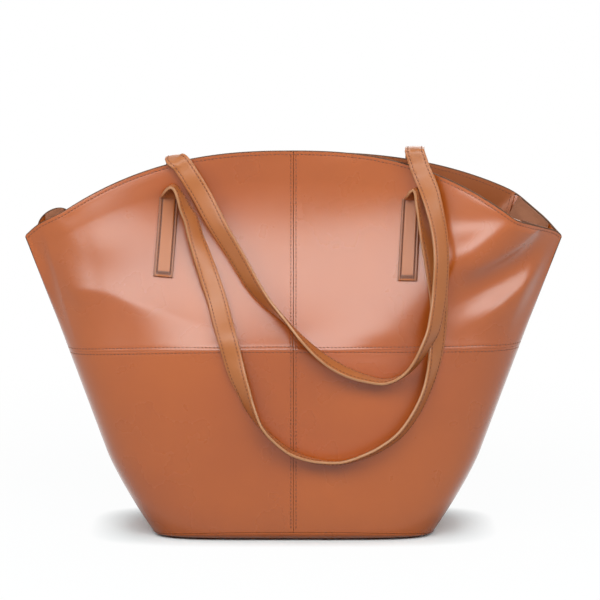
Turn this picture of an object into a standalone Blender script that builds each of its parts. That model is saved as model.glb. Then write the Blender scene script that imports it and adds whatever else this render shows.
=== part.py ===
"""Leather shoulder tote with two straps, built piece by piece as it is sewn.

Frame: metres, +Z up, origin at the middle of the base underside, on the surface it stands on.
+X runs to the right seen from the front, the front panel faces -Y.
"""
import math

import bmesh
import bpy
import numpy as np
from mathutils import Matrix, Vector

# Body outline, seen from the front
WAIST_HALF_WIDTH = 0.1343
SIDE_FLARE = 0.376
TUCK_DEPTH = 0.0145
TUCK_HEIGHT = 0.070
TUCK_POWER = 1.5
TIP_HEIGHT = 0.2542
RIM_HEIGHT = 0.3275
BACK_RIM_DROP = 0.0020
SEAM_HEIGHT = 0.1650
SEAM_DROP_LEFT = 0.0075
SEAM_DROP_RIGHT = 0.0030
SEAM_DROP_POWER = 2.5
RIM_ARCH_POWER = 2.5

# Corners of the mouth, as shares of the half width, and how far they lie below the rim's peak
FRONT_KINK_LEFT = 0.853
FRONT_KINK_RIGHT = 0.813
FRONT_KINK_DROP_LEFT = 0.0514
FRONT_KINK_DROP_RIGHT = 0.0543
BACK_KINK_LEFT = 0.853
BACK_KINK_RIGHT = 0.845
BACK_KINK_DROP_LEFT = 0.0560
BACK_KINK_DROP_RIGHT = 0.0419
FRONT_SHOULDER_LEFT = 0.9535
FRONT_SHOULDER_RIGHT = 0.983
BACK_SHOULDER_LEFT = 0.930
BACK_SHOULDER_RIGHT = 0.950
FRONT_SHOULDER_RISE_LEFT = 0.0102
FRONT_SHOULDER_RISE_RIGHT = 0.0049
BACK_SHOULDER_RISE_LEFT = 0.0180
BACK_SHOULDER_RISE_RIGHT = 0.0126

# Depth of the body, each way from the middle plane
BASE_HALF_DEPTH = 0.060
BELLY_HALF_DEPTH = 0.064
BELLY_HEIGHT = 0.035
SEAM_HALF_DEPTH = 0.057
BASE_CORNER_POWER = 4.5
SEAM_CORNER_POWER = 2.6
MOUTH_HALF_GAP_LEFT = 0.0125
MOUTH_HALF_GAP_RIGHT = 0.045
MOUTH_SPREAD_POWER = 2.0
LEAN_POWER = 1.6
UPRIGHT_FROM = 0.85
KINK_TRAVEL = 0.40
KINK_TRAVEL_POWER = 1.2
KINK_ROUND_RIM = 0.007
KINK_ROUND_SEAM = 0.022

# Base
BASE_SEAM_CORNER = 0.0030
BASE_SEAM_LIFT = 0.0055
BASE_SEAM_POWER = 3.0
BASE_ROLL = 0.016
BOARD_INSET = 0.008

# Layers
LEATHER = 0.0016
FACING = 0.0010
LINING = 0.0006
BACKING = 0.0010
BOARD = 0.0020
SEAM_GAP = 0.0003

# Facing strips and lining
FACING_HEIGHT = 0.044
FACING_END = 0.82
LINING_END_BASE = 0.9995
LINING_END_RIM_LEFT = 0.93
LINING_END_RIM_RIGHT = 0.965
LINING_DRAWN_FROM = 0.91
LINING_SLACK = 0.0040
LINING_SLACK_FROM = 0.70
LINING_SLACK_WIDTH = 0.27
LINING_SAG = 2.6
LINING_STEP = 0.024

# Straps
STRAP_WIDTH = 0.0165
STRAP = 0.0030
STRAP_EDGE_ROUND = 0.0007
FRONT_ANCHOR_LEFT = 0.1055
FRONT_ANCHOR_RIGHT = 0.1010
BACK_ANCHOR_LEFT = 0.1010
BACK_ANCHOR_RIGHT = 0.1045
ANCHOR_LEAN = 0.0045
TAB_LENGTH = 0.0720
FOLD_BELOW_RIM = 0.0345
FOLD_RADIUS = 0.0027
FOLD_CLEARANCE = 0.0005
ARCH_RISE_LEFT = 0.0100
ARCH_RISE_RIGHT = 0.0160
ARCH_BEND = 0.0080
ARCH_END = 115.0
JOINT_GAP = 0.0006
FRONT_STRAP_DROP = 0.2220
BACK_STRAP_DROP = 0.1706
BACK_HANG_BELOW_RIM = 0.0175
STRAP_STATIONS = 60
TAB_STATIONS = 10
RISE_STATIONS = 8
FOLD_STATIONS = 7
FOLD_START = 15.0
ROUND_START = 20.0

# Each hanging strap from its left end to its right end, seen from the front. A row holds the
# share of the way from the left anchor to the right, the share of the strap's drop, the gap
# between strap and panel in metres, and its twist in degrees, where 0 lies flat and -90 stands
# on edge.
FRONT_STRAP_ROUTE = [
    (0.009, 0.024, 0.0058, 0),
    (0.026, 0.049, 0.0046, 10),
    (0.053, 0.075, 0.0030, 30),
    (0.088, 0.131, 0.0014, 42),
    (0.119, 0.195, 0.0010, 36),
    (0.142, 0.250, 0.0010, 27),
    (0.166, 0.313, 0.0010, 12),
    (0.198, 0.397, 0.0010, 0),
    (0.220, 0.468, 0.0010, -3),
    (0.243, 0.537, 0.0010, -8),
    (0.265, 0.611, 0.0010, -15),
    (0.283, 0.667, 0.0010, -28),
    (0.306, 0.722, 0.0010, -45),
    (0.338, 0.797, 0.0011, -62),
    (0.389, 0.873, 0.0012, -84),
    (0.481, 0.950, 0.0012, -90),
    (0.571, 0.986, 0.0012, -86),
    (0.660, 1.000, 0.0012, -78),
    (0.722, 0.997, 0.0012, -76),
    (0.787, 0.979, 0.0012, -73),
    (0.864, 0.947, 0.0012, -70),
    (0.946, 0.892, 0.0012, -68),
    (1.011, 0.811, 0.0012, -66),
    (1.056, 0.721, 0.0012, -64),
    (1.084, 0.624, 0.0012, -50),
    (1.099, 0.521, 0.0010, -34),
    (1.105, 0.408, 0.0010, -26),
    (1.093, 0.314, 0.0010, -22),
    (1.079, 0.232, 0.0010, -22),
    (1.063, 0.155, 0.0020, -20),
    (1.043, 0.085, 0.0036, -12),
    (1.021, 0.045, 0.0050, -5),
    (1.003, 0.019, 0.0058, 0),
]
BACK_STRAP_ROUTE = [
    (0.008, -0.052, 0.0038, 0),
    (0.028, -0.021, 0.0052, 0),
    (0.059, 0.026, 0.0070, 0),
    (0.104, 0.107, 0.0085, 0),
    (0.151, 0.199, 0.0090, -8),
    (0.195, 0.286, 0.0080, -25),
    (0.241, 0.373, 0.0065, -33),
    (0.284, 0.459, 0.0045, -37),
    (0.329, 0.545, 0.0030, -45),
    (0.377, 0.616, 0.0020, -58),
    (0.426, 0.672, 0.0016, -72),
    (0.478, 0.732, 0.0014, -84),
    (0.535, 0.801, 0.0014, -95),
    (0.600, 0.870, 0.0014, -104),
    (0.662, 0.921, 0.0014, -108),
    (0.731, 0.962, 0.0014, -105),
    (0.805, 0.989, 0.0014, -98),
    (0.862, 1.000, 0.0016, -92),
    (0.915, 0.984, 0.0028, -84),
    (0.964, 0.944, 0.0045, -76),
    (1.000, 0.887, 0.0088, -68),
    (1.030, 0.820, 0.0126, -60),
    (1.061, 0.743, 0.0146, -48),
    (1.079, 0.647, 0.0136, -42),
    (1.090, 0.546, 0.0120, -38),
    (1.096, 0.411, 0.0100, -40),
    (1.092, 0.307, 0.0100, -40),
    (1.081, 0.221, 0.0100, -36),
    (1.060, 0.117, 0.0095, -22),
    (1.044, 0.056, 0.0080, -6),
    (1.026, 0.005, 0.0055, 0),
    (1.012, -0.034, 0.0040, 0),
    (1.006, -0.058, 0.0030, 0),
]

# Inner reinforcement and closure
PATCH_WIDTH = 0.030
PATCH_HEIGHT = 0.046
PATCH_BELOW_FACING = 0.010
SNAP_RADIUS = 0.0080
SNAP_BELOW_RIM = 0.015
SOCKET = 0.0032
SOCKET_HOLE_RADIUS = 0.0032
STUD_PLATE = 0.0008
STUD_RADIUS = 0.0028
STUD_LENGTH = 0.0020
WASHER = 0.0005
SNAP_SIDES = 24

# Depths that follow from the layers
LINER_DEPTH = LEATHER + SEAM_GAP + BACKING + SEAM_GAP
SNAP_SPACE = SOCKET + SEAM_GAP + STUD_PLATE + 2 * SEAM_GAP
CLOSED_HALF_GAP = LINER_DEPTH + FACING + SNAP_SPACE / 2 - LEATHER - SEAM_GAP / 2

# Shares of the skin over which its normal is taken
NORMAL_STEP = 0.004
NORMAL_SPREAD = 0.035

# The skin's v value at the cross seam and at the rim
SEAM_V = 1.0
RIM_V = 2.0

# Half a seam's gap as a share of the width
SEAM_SHARE = SEAM_GAP / 2 / WAIST_HALF_WIDTH

# Grid steps
ACROSS_STEPS = 16
UP_STEPS = 8
FACING_STEPS = 3
PATCH_STEPS = 4
ROLL_STEPS = 4
CURVE_STEPS = 12

# Rounds of correction that find a place on the skin
SEARCH_ROUNDS = 12

# Sharpest turn between faces that still looks smooth
SMOOTH_ANGLE = 35.0

FRONT = -1
BACK = 1

# Red, green, blue and roughness of each material
TAN_LEATHER = (0.46, 0.14, 0.042, 0.35)
STRAP_LEATHER = (0.50, 0.17, 0.055, 0.40)
FACING_LEATHER = (0.42, 0.12, 0.035, 0.50)
LINING_CLOTH = (0.24, 0.09, 0.045, 0.90)
BACKING_FELT = (0.55, 0.48, 0.38, 0.95)
BOARD_GREY = (0.36, 0.34, 0.30, 0.90)
SNAP_METAL = (0.72, 0.60, 0.38, 0.30)


def clear_scene():
    """Start from an empty scene."""
    for obj in list(bpy.data.objects):
        bpy.data.objects.remove(obj, do_unlink=True)


def make_material(name, finish, metallic=0.0):
    """A material of one finish, which is its red, green and blue and its roughness."""
    colour = (*finish[:3], 1.0)
    material = bpy.data.materials.new(name)
    material.use_nodes = True
    shader = material.node_tree.nodes["Principled BSDF"]
    shader.inputs["Base Color"].default_value = colour
    shader.inputs["Roughness"].default_value = finish[3]
    shader.inputs["Metallic"].default_value = metallic
    material.diffuse_color = colour
    return material


def add_solid(name, vertices, faces, material):
    """A mesh object whose faces are turned outwards and whose gentle edges are smooth."""
    mesh = bpy.data.meshes.new(name)
    mesh.from_pydata([tuple(point) for point in vertices], [], faces)
    bm = bmesh.new()
    bm.from_mesh(mesh)
    bmesh.ops.recalc_face_normals(bm, faces=bm.faces)
    bm.to_mesh(mesh)
    bm.free()
    mesh.shade_smooth()
    mesh.set_sharp_from_angle(angle=math.radians(SMOOTH_ANGLE))
    mesh.materials.append(material)
    obj = bpy.data.objects.new(name, mesh)
    bpy.context.scene.collection.objects.link(obj)
    return obj


def by_hand(u, left, right):
    """One of two values, by which half of the bag the share u lies in."""
    return np.where(np.asarray(u) < 0, left, right)


def half_width(z):
    """Side edge of the outline: a straight flare that tucks in near the base."""
    tuck = np.clip(1 - z / TUCK_HEIGHT, 0, None) ** TUCK_POWER
    return WAIST_HALF_WIDTH + SIDE_FLARE * z - TUCK_DEPTH * tuck


def seam_z(u):
    """Cross seam, a little lower at the sides."""
    return SEAM_HEIGHT - by_hand(u, SEAM_DROP_LEFT, SEAM_DROP_RIGHT) * np.abs(u) ** SEAM_DROP_POWER


def base_seam_z(u):
    """Seam between base and body, highest at the middle."""
    return BASE_SEAM_CORNER + BASE_SEAM_LIFT * (1 - np.abs(u) ** BASE_SEAM_POWER)


def rim_z(u, side):
    """Rim: an arch out to the kink, then a short shoulder down to the side tip."""
    u = np.asarray(u, float)
    a = np.abs(u)
    if side == FRONT:
        peak = RIM_HEIGHT
        kink = by_hand(u, FRONT_KINK_LEFT, FRONT_KINK_RIGHT)
        drop = by_hand(u, FRONT_KINK_DROP_LEFT, FRONT_KINK_DROP_RIGHT)
        shoulder = by_hand(u, FRONT_SHOULDER_LEFT, FRONT_SHOULDER_RIGHT)
        rise = by_hand(u, FRONT_SHOULDER_RISE_LEFT, FRONT_SHOULDER_RISE_RIGHT)
    else:
        peak = RIM_HEIGHT - BACK_RIM_DROP
        kink = by_hand(u, BACK_KINK_LEFT, BACK_KINK_RIGHT)
        drop = by_hand(u, BACK_KINK_DROP_LEFT, BACK_KINK_DROP_RIGHT) - BACK_RIM_DROP
        shoulder = by_hand(u, BACK_SHOULDER_LEFT, BACK_SHOULDER_RIGHT)
        rise = by_hand(u, BACK_SHOULDER_RISE_LEFT, BACK_SHOULDER_RISE_RIGHT)
    kink_height = peak - drop
    arch = peak - drop * (a / kink) ** RIM_ARCH_POWER
    to_shoulder = (a - kink) / (shoulder - kink)
    upper = kink_height + (TIP_HEIGHT + rise - kink_height) * to_shoulder
    lower = TIP_HEIGHT + rise * (1 - a) / (1 - shoulder)
    return np.where(a <= kink, arch, np.where(a <= shoulder, upper, lower))


def soft_minimum(first, second, width):
    """The lower of two values, rounded over where they cross."""
    return (first + second - np.sqrt((first - second) ** 2 + width ** 2)) / 2


def body_depth(u, z):
    """Plan section of the lower body: a rounded rectangle that softens upwards."""
    below = np.clip(1 - z / BELLY_HEIGHT, 0, None)
    above = np.clip((z - BELLY_HEIGHT) / (SEAM_HEIGHT - BELLY_HEIGHT), 0, None)
    depth = BELLY_HALF_DEPTH - (BELLY_HALF_DEPTH - BASE_HALF_DEPTH) * below ** 2
    depth = depth - (BELLY_HALF_DEPTH - SEAM_HALF_DEPTH) * above ** 2
    power = np.interp(z, [0, SEAM_HEIGHT], [BASE_CORNER_POWER, SEAM_CORNER_POWER])
    return depth * np.clip(1 - np.abs(u) ** power, 0, None) ** (1 / power)


def mouth_depth(u, t, side):
    """Plan section of the mouth: closed at the snap, wide at the kink, closed at the tip."""
    a = np.abs(u)
    gap = by_hand(u, MOUTH_HALF_GAP_LEFT, MOUTH_HALF_GAP_RIGHT)
    if side == FRONT:
        kink = by_hand(u, FRONT_KINK_LEFT, FRONT_KINK_RIGHT)
    else:
        kink = by_hand(u, BACK_KINK_LEFT, BACK_KINK_RIGHT)
    kink = kink - KINK_TRAVEL * (1 - t) ** KINK_TRAVEL_POWER
    inner = CLOSED_HALF_GAP + (gap - CLOSED_HALF_GAP) * (a / kink) ** MOUTH_SPREAD_POWER
    outer = gap * (1 - a) / (1 - kink)
    rounding = KINK_ROUND_RIM + (KINK_ROUND_SEAM - KINK_ROUND_RIM) * (1 - t)
    return np.maximum(soft_minimum(inner, outer, rounding), 0)


def skin(u, v, side):
    """Outer face of the bag. v runs 0 to 1 from base to cross seam, and 1 to 2 up to the rim."""
    u = np.asarray(u, float)
    v = np.asarray(v, float)
    seam = seam_z(u)
    low = v <= SEAM_V
    t = np.clip(v - SEAM_V, 0, 1)
    z = np.where(low, base_seam_z(u) + (seam - base_seam_z(u)) * v, seam + (rim_z(u, side) - seam) * t)
    width_z = np.where(low, z, seam + (TIP_HEIGHT - seam) * t)
    lean = np.where(low, 0, 1 - np.clip(1 - t / UPRIGHT_FROM, 0, 1) ** LEAN_POWER)
    depth = (1 - lean) * body_depth(u, np.minimum(z, seam)) + lean * mouth_depth(u, t, side)
    side_gap = SEAM_GAP / 2 + LEATHER * lean
    return np.stack([half_width(width_z) * u, side * (side_gap + depth), z], axis=-1)


def skin_normal(u, v, side):
    """Outward unit normal of the skin, taken over a few millimetres so that layers stay apart."""
    top = np.clip(v + NORMAL_STEP, 0, RIM_V)
    bottom = np.clip(v - NORMAL_STEP, 0, RIM_V)
    reach = NORMAL_STEP + NORMAL_SPREAD * np.clip(v - SEAM_V, 0, 1)
    right = np.clip(u + reach, -1, 1)
    left = np.clip(u - reach, -1, 1)
    across = skin(right, v, side) - skin(left, v, side)
    upward = skin(u, top, side) - skin(u, bottom, side)
    normal = np.cross(across, upward) * -side
    return normal / np.linalg.norm(normal, axis=-1, keepdims=True)


def layer(u, v, side, depth):
    """A face that lies depth inwards of the skin."""
    return skin(u, v, side) - depth * skin_normal(u, v, side)


def share_at(x, z, side):
    """The u and v of the skin at a place seen from the front."""
    u = x / float(half_width(min(z, TIP_HEIGHT)))
    v = SEAM_V
    for _ in range(SEARCH_ROUNDS):
        seam = float(seam_z(u))
        if z <= seam:
            base = float(base_seam_z(u))
            v = (z - base) / (seam - base)
            u = x / float(half_width(z))
        else:
            v = SEAM_V + (z - seam) / (float(rim_z(u, side)) - seam)
            u = x / float(half_width(seam + (TIP_HEIGHT - seam) * min(v - SEAM_V, 1)))
    return u, min(v, RIM_V)


def depth_at(x, z, side):
    """How far the skin stands from the middle plane at a place seen from the front."""
    u, v = share_at(x, z, side)
    return abs(float(skin(u, v, side)[1]))


def slab(name, outer, inner, material):
    """A closed sheet between two grids of the same size, split along lines that climb outwards."""
    rows, columns = outer.shape[:2]
    count = rows * columns
    index = np.arange(count).reshape(rows, columns)
    faces = []
    for row in range(rows - 1):
        for column in range(columns - 1):
            a, b = index[row, column], index[row, column + 1]
            c, d = index[row + 1, column + 1], index[row + 1, column]
            outwards = abs(outer[row, column + 1, 0]) > abs(outer[row, column, 0])
            halves = [(a, b, c), (a, c, d)] if outwards else [(a, b, d), (b, c, d)]
            for half in halves:
                faces.append(tuple(int(corner) for corner in half))
                faces.append(tuple(int(corner + count) for corner in reversed(half)))
    edge = list(index[0, :]) + list(index[1:, -1]) + list(index[-1, -2::-1]) + list(index[-2:0:-1, 0])
    for here, there in zip(edge, edge[1:] + edge[:1]):
        faces.append((int(here), int(here + count), int(there + count), int(there)))
    vertices = np.concatenate([outer.reshape(-1, 3), inner.reshape(-1, 3)])
    return add_solid(name, vertices, faces, material)


def half_shares(hand):
    """Shares from the centre seam to the side, closer together there, one at the facing's end."""
    shares = SEAM_SHARE + (1 - SEAM_SHARE) * np.sin(np.linspace(0, math.pi / 2, ACROSS_STEPS + 1))
    shares[np.argmin(np.abs(shares - FACING_END))] = FACING_END
    return hand * shares


def facing_bottom(u, side):
    """Lower edge of the facing as a v value, FACING_HEIGHT below the rim."""
    return RIM_V - FACING_HEIGHT / (rim_z(u, side) - seam_z(u))


def sheet_grid(u, start, stop, steps):
    """A grid of u and v whose columns run from start to stop."""
    share = np.linspace(0, 1, steps + 1)[:, None] + np.zeros_like(u)
    return u + np.zeros_like(share), start + (stop - start) * share


def upper_grid(u, side, start, stop):
    """Columns from the cross seam to the rim, with a row on the facing's lower edge."""
    columns, below = sheet_grid(u, start, facing_bottom(u, side), UP_STEPS - FACING_STEPS)
    columns_above, above = sheet_grid(u, facing_bottom(u, side), stop, FACING_STEPS)
    return np.vstack([columns, columns_above[1:]]), np.vstack([below, above[1:]])


def build_panels(material):
    """Eight leather panels: front and back, upper and lower, left and right."""
    seam_step = SEAM_GAP / 2 / SEAM_HEIGHT
    for side, side_name in ((FRONT, "front"), (BACK, "back")):
        for hand, hand_name in ((-1, "left"), (1, "right")):
            shares = half_shares(hand)
            grids = {"lower": sheet_grid(shares, 0.0, SEAM_V - seam_step, UP_STEPS),
                     "upper": upper_grid(shares, side, SEAM_V + seam_step, RIM_V)}
            for level, (u, v) in grids.items():
                outer = skin(u, v, side)
                inner = layer(u, v, side, LEATHER)
                inner[..., 1] = side * np.maximum(side * inner[..., 1], SEAM_GAP / 2)
                slab(f"{side_name}_{level}_{hand_name}_panel", outer, inner, material)


def lining_fold(u):
    """How fully the lining hangs loose, which it does inside the folded corners of the mouth."""
    fold = np.clip((np.abs(u) - LINING_SLACK_FROM) / LINING_SLACK_WIDTH, 0, 1)
    return np.sin(math.pi * fold) ** 2


def mirrored(half):
    """Shares from side to side, from those of the right half."""
    return np.concatenate([-half[::-1], half])


def build_facings(material):
    """Leather strips along the inside of both rims, ending just short of the lining beside them."""
    shares = half_shares(1)
    columns = mirrored(np.append(shares[shares < FACING_END], FACING_END - 2 * SEAM_SHARE))
    for side, side_name in ((FRONT, "front"), (BACK, "back")):
        u, v = sheet_grid(columns, facing_bottom(columns, side), RIM_V, FACING_STEPS)
        outer = layer(u, v, side, LINER_DEPTH)
        inner = layer(u, v, side, LINER_DEPTH + FACING)
        slab(f"{side_name}_facing", outer, inner, material)


def lining_columns():
    """Shares across a lining, with a narrow step where it rises beside the facing's end."""
    shares = half_shares(1)
    step = [FACING_END - SEAM_SHARE, FACING_END + LINING_STEP]
    return mirrored(np.concatenate([shares[shares < FACING_END], step, shares[shares > step[1]]]))


def drawn_in(u, v):
    """A lining's shares near the sides, pulled inwards so that it ends short of the side seam."""
    at_rim = by_hand(u, LINING_END_RIM_LEFT, LINING_END_RIM_RIGHT)
    limit = LINING_END_BASE + (at_rim - LINING_END_BASE) * np.clip(v - SEAM_V, 0, 1)
    beyond = (np.abs(u) - LINING_DRAWN_FROM) / (1 - LINING_DRAWN_FROM)
    pulled = LINING_DRAWN_FROM + beyond * (limit - LINING_DRAWN_FROM)
    return np.where(beyond > 0, np.sign(u) * pulled, u)


def build_linings(material):
    """Cloth linings that hang below the facings and rise to the rim beside the facings' ends."""
    columns = lining_columns()
    rise = RIM_HEIGHT - SEAM_HEIGHT
    gap = 2 * SEAM_GAP / rise
    sag = LINING_SAG * LINING_SLACK * lining_fold(columns) / rise
    for side, side_name in ((FRONT, "front"), (BACK, "back")):
        under = facing_bottom(columns, side) - gap - sag
        top = np.where(np.abs(columns) <= FACING_END, under, RIM_V - gap)
        lower_u, lower = sheet_grid(columns, 2 * LINER_DEPTH / SEAM_HEIGHT, SEAM_V, UP_STEPS)
        upper_u, upper = sheet_grid(columns, SEAM_V, top, UP_STEPS - FACING_STEPS)
        v = np.vstack([lower, upper[1:]])
        u = drawn_in(np.vstack([lower_u, upper_u[1:]]), v)
        slack = LINING_SLACK * lining_fold(u) * np.sqrt(np.clip(v - SEAM_V, 0, 1))
        outer = layer(u, v, side, LINER_DEPTH + slack[..., None])
        inner = layer(u, v, side, LINER_DEPTH + LINING + slack[..., None])
        outer[..., 1] = side * np.maximum(side * outer[..., 1], SEAM_GAP / 2 + LINING)
        inner[..., 1] = side * np.maximum(side * inner[..., 1], SEAM_GAP / 2)
        slab(f"{side_name}_lining", outer, inner, material)


def rectangle_on(side, centre_x, lean, low, high, width):
    """A u, v grid over an upright rectangle seen from the front, its middle line leaning."""
    rows = np.linspace(low, high, PATCH_STEPS + 1)
    u = np.zeros((PATCH_STEPS + 1, PATCH_STEPS + 1))
    v = np.zeros_like(u)
    for row, z in enumerate(rows):
        middle = centre_x - lean * (high - z) / (high - low)
        for column, offset in enumerate(np.linspace(-width / 2, width / 2, PATCH_STEPS + 1)):
            u[row, column], v[row, column] = share_at(middle + offset, z, side)
    return u, v


def anchor_x(side, hand):
    """Where the middle of a sewn strap end lies at the height of the fold."""
    if side == FRONT:
        return -FRONT_ANCHOR_LEFT if hand < 0 else FRONT_ANCHOR_RIGHT
    return -BACK_ANCHOR_LEFT if hand < 0 else BACK_ANCHOR_RIGHT


def build_patches(material):
    """Reinforcement between panel and lining behind each sewn strap end."""
    for side, side_name in ((FRONT, "front"), (BACK, "back")):
        for hand, hand_name in ((-1, "left"), (1, "right")):
            x = anchor_x(side, hand)
            u_here, _ = share_at(x, fold_z(), side)
            high = float(rim_z(u_here, side)) - FACING_HEIGHT - PATCH_BELOW_FACING
            u, v = rectangle_on(side, x, ANCHOR_LEAN, high - PATCH_HEIGHT, high, PATCH_WIDTH)
            depth = LEATHER + SEAM_GAP
            name = f"{side_name}_{hand_name}_patch"
            slab(name, layer(u, v, side, depth), layer(u, v, side, depth + BACKING), material)


def fold_z():
    """Height of the line about which the front strap swings."""
    return RIM_HEIGHT - FOLD_BELOW_RIM


def outline_ring(inset):
    """Seam line of the base in plan, shrunk by an inset, as x, y and the u share."""
    bend = np.sin(np.linspace(-math.pi / 2, math.pi / 2, 2 * ACROSS_STEPS + 1))
    front = skin(bend, np.zeros_like(bend), FRONT)
    back = skin(bend[::-1], np.zeros_like(bend), BACK)
    ring = np.concatenate([front, back])
    u = np.concatenate([bend, bend[::-1]])
    x = ring[:, 0] * (1 - inset / ring[:, 0].max())
    y = ring[:, 1] * (1 - inset / ring[:, 1].max())
    return x, y, u


def ring_solid(name, rings, material):
    """A closed solid from rings of equal count, capped flat at both ends."""
    count = len(rings[0])
    vertices = np.concatenate(rings)
    faces = [tuple(range(count)), tuple(range(len(vertices) - count, len(vertices)))]
    for level in range(len(rings) - 1):
        for here in range(count):
            there = (here + 1) % count
            low, high = level * count, (level + 1) * count
            faces.append((low + here, low + there, high + there, high + here))
    return add_solid(name, vertices, faces, material)


def build_base(leather, board_material, lining_material):
    """Base panel rolled up to its seam, the board that stiffens it, and its lining."""
    rings = []
    for turn in np.linspace(90, 0, ROLL_STEPS + 1):
        c, s = cosine(turn), sine(turn)
        x, y, u = outline_ring(BASE_ROLL * (1 - c))
        edge = base_seam_z(u) - SEAM_GAP
        rings.append(np.stack([x, y, edge * (1 - s)], axis=-1))
    for turn in np.linspace(0, 90, ROLL_STEPS + 1):
        c, s = cosine(turn), sine(turn)
        x, y, u = outline_ring(BASE_ROLL * (1 - c) + LEATHER * c)
        edge = base_seam_z(u) - SEAM_GAP
        rings.append(np.stack([x, y, edge * (1 - s) + LEATHER * s], axis=-1))
    ring_solid("base_panel", rings, leather)
    level = LEATHER + SEAM_GAP
    plate_on_base("base_board", BASE_ROLL + BOARD_INSET, level, BOARD, board_material)
    level = level + BOARD + SEAM_GAP
    plate_on_base("base_lining", BASE_ROLL, level, LINING, lining_material)


def plate_on_base(name, inset, level, thickness, material):
    """A flat plate of the base's outline."""
    x, y, _ = outline_ring(inset)
    low = np.stack([x, y, np.full_like(x, level)], axis=-1)
    high = np.stack([x, y, np.full_like(x, level + thickness)], axis=-1)
    ring_solid(name, [low, high], material)


def smooth_path(before, points, after, stations):
    """Even stations along a Catmull-Rom curve through rows of values, the first three in space."""
    points = np.asarray(points, float)
    padded = np.vstack([before, points, after])
    t = np.linspace(0, 1, CURVE_STEPS, endpoint=False)[:, None]
    pieces = []
    for p0, p1, p2, p3 in zip(padded, padded[1:], padded[2:], padded[3:]):
        pieces.append(0.5 * (2 * p1 + (p2 - p0) * t + (2 * p0 - 5 * p1 + 4 * p2 - p3) * t ** 2
                             + (3 * p1 - p0 - 3 * p2 + p3) * t ** 3))
    curve = np.vstack(pieces + [points[-1:]])
    run = np.concatenate([[0], np.cumsum(np.linalg.norm(np.diff(curve[:, :3], axis=0), axis=1))])
    even = np.linspace(0, run[-1], stations)
    return np.stack([np.interp(even, run, curve[:, i]) for i in range(points.shape[1])], axis=-1)


def strap_solid(name, path, across, material, thickness=None):
    """A flat leather strap carried along a path, its width lying along the across vectors."""
    if thickness is None:
        thickness = np.full(len(path), STRAP)
    tangent = np.gradient(path, axis=0)
    tangent /= np.linalg.norm(tangent, axis=1, keepdims=True)
    across = across - tangent * np.sum(across * tangent, axis=1, keepdims=True)
    across /= np.linalg.norm(across, axis=1, keepdims=True)
    face = np.cross(tangent, across)
    w, r = STRAP_WIDTH / 2, STRAP_EDGE_ROUND
    rings = []
    for point, side_way, out, thick in zip(path, across, face, thickness):
        h = thick / 2
        d = r * thick / STRAP
        section = [(-w, -h + d), (-w + r, -h), (w - r, -h), (w, -h + d),
                   (w, h - d), (w - r, h), (-w + r, h), (-w, h - d)]
        rings.append(np.array([point + side_way * a + out * b for a, b in section]))
    return ring_solid(name, rings, material)


def twist_vectors(path, degrees):
    """Width direction of a strap: across the run at 0, towards the viewer at -90."""
    tangent = np.gradient(path, axis=0)
    flat = np.cross(tangent, np.array([0.0, 1.0, 0.0]))
    flat /= np.linalg.norm(flat, axis=1, keepdims=True)
    angle = np.radians(degrees)[:, None]
    return flat * np.cos(angle) + np.array([0.0, 1.0, 0.0]) * np.sin(angle)


def across_strap(x):
    """The two edges and the middle of a strap whose middle lies at x."""
    return (x - STRAP_WIDTH / 2, x, x + STRAP_WIDTH / 2)


def fold_line():
    """Both ends of the line about which the front strap folds, just clear of the panel."""
    reach = FOLD_RADIUS + STRAP / 2 + FOLD_CLEARANCE
    left, right = anchor_x(FRONT, -1), anchor_x(FRONT, 1)
    slope = 0.0
    for _ in range(SEARCH_ROUNDS):
        depth = [max(depth_at(place, fold_z() - reach, FRONT) - slope * (place - x)
                     for place in across_strap(x)) for x in (left, right)]
        slope = (depth[1] - depth[0]) / (right - left)
    return [np.array([x, -(near + reach), fold_z()]) for x, near in zip((left, right), depth)]


def arch_line():
    """Both ends of the line about which the back strap swings, above and before the front rim."""
    ends = []
    droop = ARCH_BEND * (1 - cosine(ARCH_END - 90)) + (STRAP / 2 + JOINT_GAP) * sine(ARCH_END - 90)
    for hand, rise in ((-1, ARCH_RISE_LEFT), (1, ARCH_RISE_RIGHT)):
        x = anchor_x(BACK, hand)
        rims = [rim_place(place, FRONT) for place in across_strap(x)]
        near = max(-rim[1] for rim in rims)
        top = max(rim[2] for rim in rims) + rise - STRAP / 2
        ends.append(np.array([x, -(near + FOLD_CLEARANCE + STRAP / 2), top - droop]))
    return ends


def cosine(degrees):
    """Cosine of an angle in degrees."""
    return math.cos(math.radians(degrees))


def sine(degrees):
    """Sine of an angle in degrees."""
    return math.sin(math.radians(degrees))


def rim_place(x, side):
    """The rim right above a place seen from the front."""
    u, _ = share_at(x, fold_z(), side)
    return skin(u, RIM_V, side)


def along(line):
    """Unit vector from the left end of a line to its right end."""
    return (line[1] - line[0]) / np.linalg.norm(line[1] - line[0])


def frame_of(line):
    """Unit vectors backwards and upwards, square to a line."""
    backwards = np.cross([0.0, 0.0, 1.0], along(line))
    backwards /= np.linalg.norm(backwards)
    return backwards, np.cross(along(line), backwards)


def arc(centre, line, radius, start, stop, steps):
    """Points round a line: 0 degrees lies behind it, 90 above, 180 in front."""
    backwards, upwards = frame_of(line)
    turn = np.radians(np.linspace(start, stop, steps))[:, None]
    return centre + radius * (np.cos(turn) * backwards + np.sin(turn) * upwards)


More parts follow.
